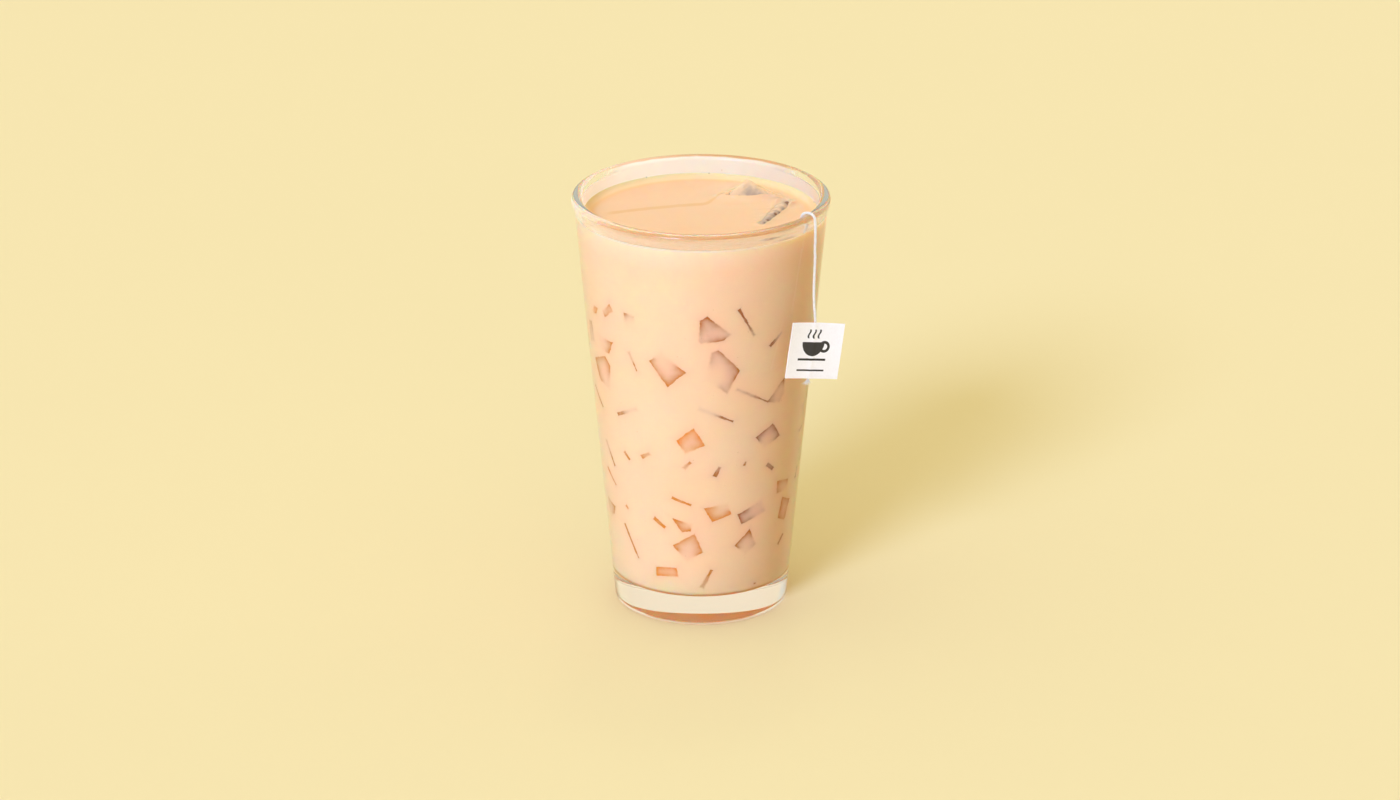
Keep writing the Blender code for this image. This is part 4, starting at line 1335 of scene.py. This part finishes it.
class LATTE_OT_drink(bpy.types.Operator):
    """Fills the glass with milk tea, and marks where sunk ice touches the wall"""

    bl_idname = "latte.drink"
    bl_label = "Drink"

    def execute(self, context):
        settings = context.scene.latte_drink
        drink = turned("tea_body", self.outline(settings.level), settings.steps)
        self.climb_ice(drink, settings.level)
        wall, top = tea_materials(settings)
        finish_piece(drink, "milk_tea", wall, top)
        for face in drink.data.polygons:
            middle = face.center
            radius = math.hypot(middle.x, middle.y)
            inside_wall = radius < inner_radius(middle.z) - 0.02 * MM
            face.material_index = 1 if inside_wall and middle.z > settings.level - 1.5 * MM else 0
        self.mark_ice(drink)
        smooth(drink, 60.0)
        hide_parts("drink")
        return {"FINISHED"}

    def outline(self, level):
        fillet = fillet_in_glass(FLOOR_FILLET + REACH, 8)
        edge = inner_radius(CONTACT) + REACH
        floor = [(0.0, fillet[0][1])] + line_between((0.0, fillet[0][1]), fillet[0], 4.0 * MM)[1:]
        wall = line_between(fillet[-1], (edge, CONTACT), 1.6 * MM)[:-1]
        meniscus = [(edge, CONTACT)]
        inward = 0.0
        while inward < 9.0 * MM:
            steep = 0.4 * math.exp(-inward / (0.6 * MM)) + 0.6 * math.exp(-inward / MENISCUS_WIDTH)
            meniscus.append((edge - REACH - inward, level + (CONTACT - level) * steep))
            inward += 0.09 * MM + inward * 0.2
        flat_edge = meniscus[-1]
        top = line_between(flat_edge, (0.0, level), 0.9 * MM, margin=0.4 * MM)[:-1]
        return floor + fillet + wall + meniscus + top + [(0.0, level)]

    def climb_ice(self, drink, level):
        """The surface climbs a little where it meets ice."""
        near = []
        for name in ("ice_melted", "ice_chip_melted"):
            piece = bpy.data.objects[name]
            near.append(BVHTree.FromPolygons([v.co[:] for v in piece.data.vertices], [p.vertices[:] for p in piece.data.polygons]))
        with edit_mode(drink):
            bm = bmesh.from_edit_mesh(drink.data)
            for face in bm.faces:
                middle = face.calc_center_median()
                on_top = middle.z > level - 0.2 * MM and math.hypot(middle.x, middle.y) < inner_radius(middle.z) - 0.3 * MM
                close = on_top and any(tree.find_nearest(middle, 5.0 * MM)[0] is not None for tree in near)
                face.select_set(close)
            bm.select_flush_mode()
            bmesh.update_edit_mesh(drink.data)
            bpy.ops.mesh.subdivide(number_cuts=2)
        for vertex in drink.data.vertices:
            if vertex.co.z < level - 0.1 * MM or math.hypot(vertex.co.x, vertex.co.y) > inner_radius(vertex.co.z) - 0.3 * MM:
                continue
            gap = min((tree.find_nearest(vertex.co, 8.0 * MM)[3] or 8.0 * MM) for tree in near)
            raised = min(max((vertex.co.y - 8.0 * MM) / (8.0 * MM), 0.0), 1.0)
            vertex.co.z += (0.4 + 1.1 * raised) * MM * math.exp(-gap / ((0.7 + 1.4 * raised) * MM))
        stored = drink.data.attributes.new("sunk_tail", "FLOAT", "POINT")
        start, along = ICE_TAIL[0], ICE_TAIL[1] - ICE_TAIL[0]
        for number, vertex in enumerate(drink.data.vertices):
            if vertex.co.z < level - 0.1 * MM:
                continue
            place = vertex.co.xy - start
            share = min(max(place.dot(along) / along.length_squared, 0.0), 1.0)
            wander = 0.8 * MM * noise.noise(vertex.co / MM * 0.3)
            apart = ((place - along * share).length + wander) / ICE_TAIL_WIDTH
            nearness = math.exp(-(apart**2))
            vertex.co.z += nearness * (0.9 - 0.5 * share) * MM
            stored.data[number].value = nearness

    def mark_ice(self, drink):
        """Gives each face of the wall its place inside the two nearest ice marks."""
        mesh = drink.data
        marks = [polygon_mark(warm, corners) for warm, corners in ICE_FACES]
        marks += [polygon_mark(warm, line_corners(start, end, width)) for warm, start, end, width in ICE_EDGES]
        count = len(mesh.loops)
        index = np.zeros(count, dtype=np.int64)
        mesh.loops.foreach_get("vertex_index", index)
        places = np.zeros(len(mesh.vertices) * 3)
        mesh.vertices.foreach_get("co", places)
        loops = places.reshape(-1, 3)[index] / MM
        starts = np.array([face.loop_start for face in mesh.polygons])
        totals = np.array([face.loop_total for face in mesh.polygons])
        owner = np.repeat(np.arange(len(starts)), totals)
        centres = np.stack([np.bincount(owner, loops[:, axis]) / totals for axis in range(3)], axis=1)
        face_angle = np.degrees(np.arctan2(centres[:, 0], -centres[:, 1]))
        angle = np.degrees(np.arctan2(loops[:, 0], -loops[:, 1]))
        angle = face_angle[owner] + (angle - face_angle[owner] + 180.0) % 360.0 - 180.0
        apart = np.full((len(starts), len(marks)), 1e3)
        values = []
        for number, mark in enumerate(marks):
            turned_angle = mark["angle"] + (face_angle - mark["angle"] + 180.0) % 360.0 - 180.0
            across = np.radians(turned_angle - mark["angle"]) * mark["radius"]
            sides = mark["normals"] @ np.stack([across, centres[:, 2] - mark["height"]]) - mark["offsets"][:, None]
            apart[:, number] = -sides.min(axis=0)
            loop_angle = angle + (turned_angle - face_angle)[owner]
            across = np.radians(loop_angle - mark["angle"]) * mark["radius"]
            up = loops[:, 2] - mark["height"]
            distance = mark["normals"] @ np.stack([across, up]) - mark["offsets"][:, None]
            squares = (across[:, None] - mark["corners"][0]) ** 2 + (up[:, None] - mark["corners"][1]) ** 2
            weights = 1.0 / (squares + 0.15) ** 1.5
            film = (weights * mark["depths"]).sum(axis=1) / weights.sum(axis=1)
            values.append((distance, film))
        order = np.argsort(apart, axis=1)
        for layer, rank in (("a", 0), ("b", 1)):
            chosen = order[:, rank]
            reach = apart[np.arange(len(starts)), chosen] < HALO_REACH
            sides = np.full((count, 3), -50.0)
            film = np.zeros((count, 3))
            film[:, 0] = -50.0
            for number in range(len(marks)):
                here = ((chosen == number) & reach)[owner]
                if not here.any():
                    continue
                distance, depth = values[number]
                sides[here] = distance[:3, here].T
                film[here, 0] = distance[3:, here].min(axis=0)
                film[here, 1] = depth[here]
                film[here, 2] = marks[number]["warm"]
            for name, table in (("ice_sides_", sides), ("ice_film_", film)):
                stored = mesh.attributes.new(name + layer, "FLOAT_VECTOR", "CORNER")
                stored.data.foreach_set("vector", table.ravel())


def line_corners(start, end, width):
    """The four corners of a thin mark between two ends, widest in its middle."""
    radius = inner_radius((start[1] + end[1]) / 2 * MM) / MM
    along = Vector((math.radians(end[0] - start[0]) * radius, end[1] - start[1]))
    across = Vector((-along.y, along.x)).normalized() * width * 0.55
    turn = math.degrees(across.x / radius)
    return (
        (start[0] - turn, start[1] - across.y, start[2]),
        (end[0] - turn * 0.7, end[1] - across.y * 0.7, end[2]),
        (end[0] + turn * 0.7, end[1] + across.y * 0.7, end[2]),
        (start[0] + turn, start[1] + across.y, start[2]),
    )


def polygon_mark(warm, corners):
    """A convex mark on the unrolled wall: its sides as lines, its corners and the milk over each."""
    angle = sum(corner[0] for corner in corners) / len(corners)
    height = sum(corner[1] for corner in corners) / len(corners)
    radius = inner_radius(height * MM) / MM
    flat = [Vector((math.radians(c[0] - angle) * radius, c[1] - height)) for c in corners]
    normals, offsets = [], []
    for here, there in zip(flat, flat[1:] + flat[:1]):
        along = (there - here).normalized()
        inward = Vector((-along.y, along.x))
        if inward.dot(-here) < 0.0:
            inward = -inward
        normals.append(inward)
        offsets.append(inward.dot(here))
    return {
        "angle": angle,
        "height": height,
        "radius": radius,
        "normals": np.array(normals),
        "offsets": np.array(offsets),
        "corners": np.array([(point.x, point.y) for point in flat]).T,
        "depths": np.array([corner[2] for corner in corners]),
        "warm": warm,
    }


class LATTE_OT_traces(bpy.types.Operator):
    """Leaves the milk film above the drink, droplets on the wall and bubbles at the meniscus"""

    bl_idname = "latte.traces"
    bl_label = "Film, droplets and bubbles"

    def execute(self, context):
        film = turned("milk_film", self.film_outline(), 160)
        smooth(film, 60.0)
        finish_piece(film, "milk_tea", film_material(context.scene.latte_traces))
        drops = self.droplets()
        finish_piece(drops, "milk_tea", droplet_material((0.92, 0.78, 0.60)))
        bubbles = self.bubbles()
        bubble, wires, shader = new_material(
            "bubble", Base_Color=(1.0, 0.97, 0.92), Transmission_Weight=0.9, IOR=1.25, Metallic=0.0
        )
        wires.put(shader["Roughness"], wires.spread(wires.noise(wires.place(), 900.0), 0.3, 0.7, 0.0, 0.05))
        lets_light_through(bubble, wires)
        finish_piece(bubbles, "milk_tea", bubble)
        return {"FINISHED"}

    def film_outline(self):
        """A closed ring section, half in the wall and half proud of it, that runs up and over the rim."""
        rim_height = HEIGHT - BEAD_TOP
        middle = (inner_radius(rim_height) + RIM_RADIUS) / 2
        half = (RIM_RADIUS - inner_radius(rim_height)) / 2
        low = CONTACT - 0.1 * MM
        proud, sunk = 0.05 * MM, 0.03 * MM
        inner = line_between((inner_radius(low) - proud, low), (inner_radius(rim_height) - proud, rim_height), 0.6 * MM)
        inner += arc((middle, rim_height), half + proud, BEAD_TOP + proud, 175.0, 15.0, 26)
        outer = line_between((inner_radius(low) + sunk, low), (inner_radius(rim_height) + sunk, rim_height), 0.6 * MM)
        outer += arc((middle, rim_height), half - sunk, BEAD_TOP - sunk, 175.0, 15.0, 26)
        return inner + outer[::-1] + [inner[0]]

    def beads(self, name, places, squash):
        """Small rounded beads, each pressed flat against its wall."""
        made = []
        clear_selection()
        bpy.ops.mesh.primitive_ico_sphere_add(subdivisions=2, radius=1.0)
        first = bpy.context.object
        for number, (angle, height, radius, lift) in enumerate(places):
            bead = first.copy()
            bead.data = first.data.copy()
            bead.name = name + "_part"
            bpy.context.collection.objects.link(bead)
            turn = math.radians(angle)
            out = Vector((math.sin(turn), -math.cos(turn), 0.0))
            spot = out * (inner_radius(height) - radius * lift) + Vector((0.0, 0.0, height))
            across = Vector((math.cos(turn), math.sin(turn), 0.0))
            basis = Matrix((across, out, Vector((0.0, 0.0, 1.0)))).transposed().to_4x4()
            bead.matrix_world = Matrix.Translation(spot) @ basis @ Matrix.Diagonal((radius, radius * squash, radius, 1.0))
            made.append(bead)
        bpy.data.objects.remove(first)
        piece = join(made, name)
        apply_place(piece)
        smooth(piece, 90.0)
        return piece

    def droplets(self):
        rng = random.Random(21)
        places = []
        for number in range(26):
            angle = rng.uniform(-60.0, 20.0) if number < 18 else rng.uniform(0.0, 360.0)
            height = rng.uniform(CONTACT + 0.5 * MM, CONTACT + 3.2 * MM)
            places.append((angle, height, rng.uniform(0.08, 0.18) * MM, 0.2))
        return self.beads("droplets", places, 0.55)

    def bubbles(self):
        rng = random.Random(8)
        places = []
        for number in range(16):
            angle = rng.gauss(-12.0, 12.0) if number < 11 else rng.uniform(0.0, 360.0)
            places.append((angle, CONTACT + rng.uniform(0.0, 0.2) * MM, rng.uniform(0.14, 0.28) * MM, 1.0))
        return self.beads("bubbles", places, 1.0)


class LATTE_OT_stage(bpy.types.Operator):
    """Sets the pale floor, the key light and the soft fill"""

    bl_idname = "latte.stage"
    bl_label = "Stage"

    def execute(self, context):
        settings = context.scene.latte_stage
        clear_selection()
        bpy.ops.mesh.primitive_plane_add(size=12.0, location=(0.0, 0.0, -0.05 * MM))
        floor = bpy.context.object
        floor.name = "floor"
        apply_place(floor)
        floor.data.materials.append(floor_material(settings.floor))
        towards = Vector((-0.49, -0.87, 0.0)).normalized() * math.cos(settings.key_height)
        towards.z = math.sin(settings.key_height)
        sun = bpy.data.lights.new("key", "SUN")
        sun.energy = settings.key_strength
        sun.color = settings.key
        sun.angle = settings.key_size
        lamp = bpy.data.objects.new("key", sun)
        lamp.rotation_euler = towards.to_track_quat("Z", "Y").to_euler()
        bpy.context.collection.objects.link(lamp)
        world = bpy.data.worlds.new("studio")
        world.use_nodes = True
        context.scene.world = world
        wires = Wires(world.node_tree)
        axes = wires.node("SeparateXYZ", Vector=wires.node("TexCoord").outputs["Generated"]).outputs
        across, ahead, height = axes
        left = wires.math("MULTIPLY", wires.spread(across, -0.25, -0.6), wires.spread(height, 0.42, 0.62, 1.0, 0.0))
        right = wires.math("MULTIPLY", wires.spread(across, 0.2, 0.55), wires.spread(height, 0.5, 0.8, 1.0, 0.0))
        left = wires.math("MULTIPLY", left, wires.spread(ahead, 0.55, 0.35))
        right = wires.math("MULTIPLY", right, wires.spread(ahead, 0.4, 0.05))
        beside = wires.math("MULTIPLY", wires.spread(ahead, 0.5, 0.4), wires.spread(height, 0.34, 0.22))
        low = wires.math("MAXIMUM", wires.spread(height, 0.17, 0.11), beside)
        low = wires.math("MULTIPLY", low, wires.spread(ahead, -0.4, 0.0))
        behind = wires.math("MULTIPLY", wires.spread(ahead, 0.3, 0.7), wires.spread(height, 0.45, 0.65, 1.0, 0.0))
        sky = wires.mix(behind, settings.sky, settings.behind)
        sky = wires.mix(left, sky, settings.left)
        sky = wires.mix(right, sky, settings.right)
        sky = wires.mix(low, sky, settings.low)
        panel = wires.math("MULTIPLY", wires.spread(height, 0.79, 0.81), wires.spread(height, 0.90, 0.88))
        panel = wires.math("MULTIPLY", panel, wires.spread(wires.math("ABSOLUTE", wires.math("SUBTRACT", across, 0.05)), 0.07, 0.06))
        panel = wires.math("MULTIPLY", panel, wires.math("GREATER_THAN", ahead, 0.0))
        sky = wires.mix(panel, sky, settings.panel)
        wires.put(world.node_tree.nodes["Background"].inputs["Color"], sky)
        wires.put(world.node_tree.nodes["Background"].inputs["Strength"], settings.fill_strength)
        context.scene.view_settings.view_transform = "Standard"
        context.scene.view_settings.look = "None"
        return {"FINISHED"}


OPERATORS = (
    LATTE_OT_camera,
    LATTE_OT_string,
    LATTE_OT_ice,
    LATTE_OT_drink,
    LATTE_OT_glass,
    LATTE_OT_traces,
    LATTE_OT_stage,
)
SETTINGS = (
    ("latte_glass", LatteGlassSettings),
    ("latte_drink", LatteDrinkSettings),
    ("latte_ice", LatteIceSettings),
    ("latte_traces", LatteTraceSettings),
    ("latte_string", LatteStringSettings),
    ("latte_tag", LatteTagSettings),
    ("latte_stage", LatteStageSettings),
)


class LATTE_PT_panel(bpy.types.Panel):
    """Lists the pieces of the iced tea latte"""

    bl_idname = "LATTE_PT_panel"
    bl_label = "Iced tea latte"
    bl_space_type = "VIEW_3D"
    bl_region_type = "UI"
    bl_category = "Iced Tea"

    def draw(self, context):
        for operator in OPERATORS:
            self.layout.operator(operator.bl_idname)
        for name, group in SETTINGS:
            box = self.layout.box()
            for label in group.__annotations__:
                box.prop(getattr(context.scene, name), label)


def register():
    for name, group in SETTINGS:
        bpy.utils.register_class(group)
        setattr(bpy.types.Scene, name, PointerProperty(type=group))
    for made in (*OPERATORS, LATTE_PT_panel):
        bpy.utils.register_class(made)


def unregister():
    for made in reversed((*OPERATORS, LATTE_PT_panel)):
        bpy.utils.unregister_class(made)
    for name, group in reversed(SETTINGS):
        delattr(bpy.types.Scene, name)
        bpy.utils.unregister_class(group)


def main():
    register()
    build_groups()
    bpy.ops.latte.camera()
    bpy.ops.latte.string()
    bpy.ops.latte.ice()
    bpy.ops.latte.drink()
    bpy.ops.latte.glass()
    bpy.ops.latte.traces()
    bpy.ops.latte.stage()


if __name__ == "__main__":
    main()
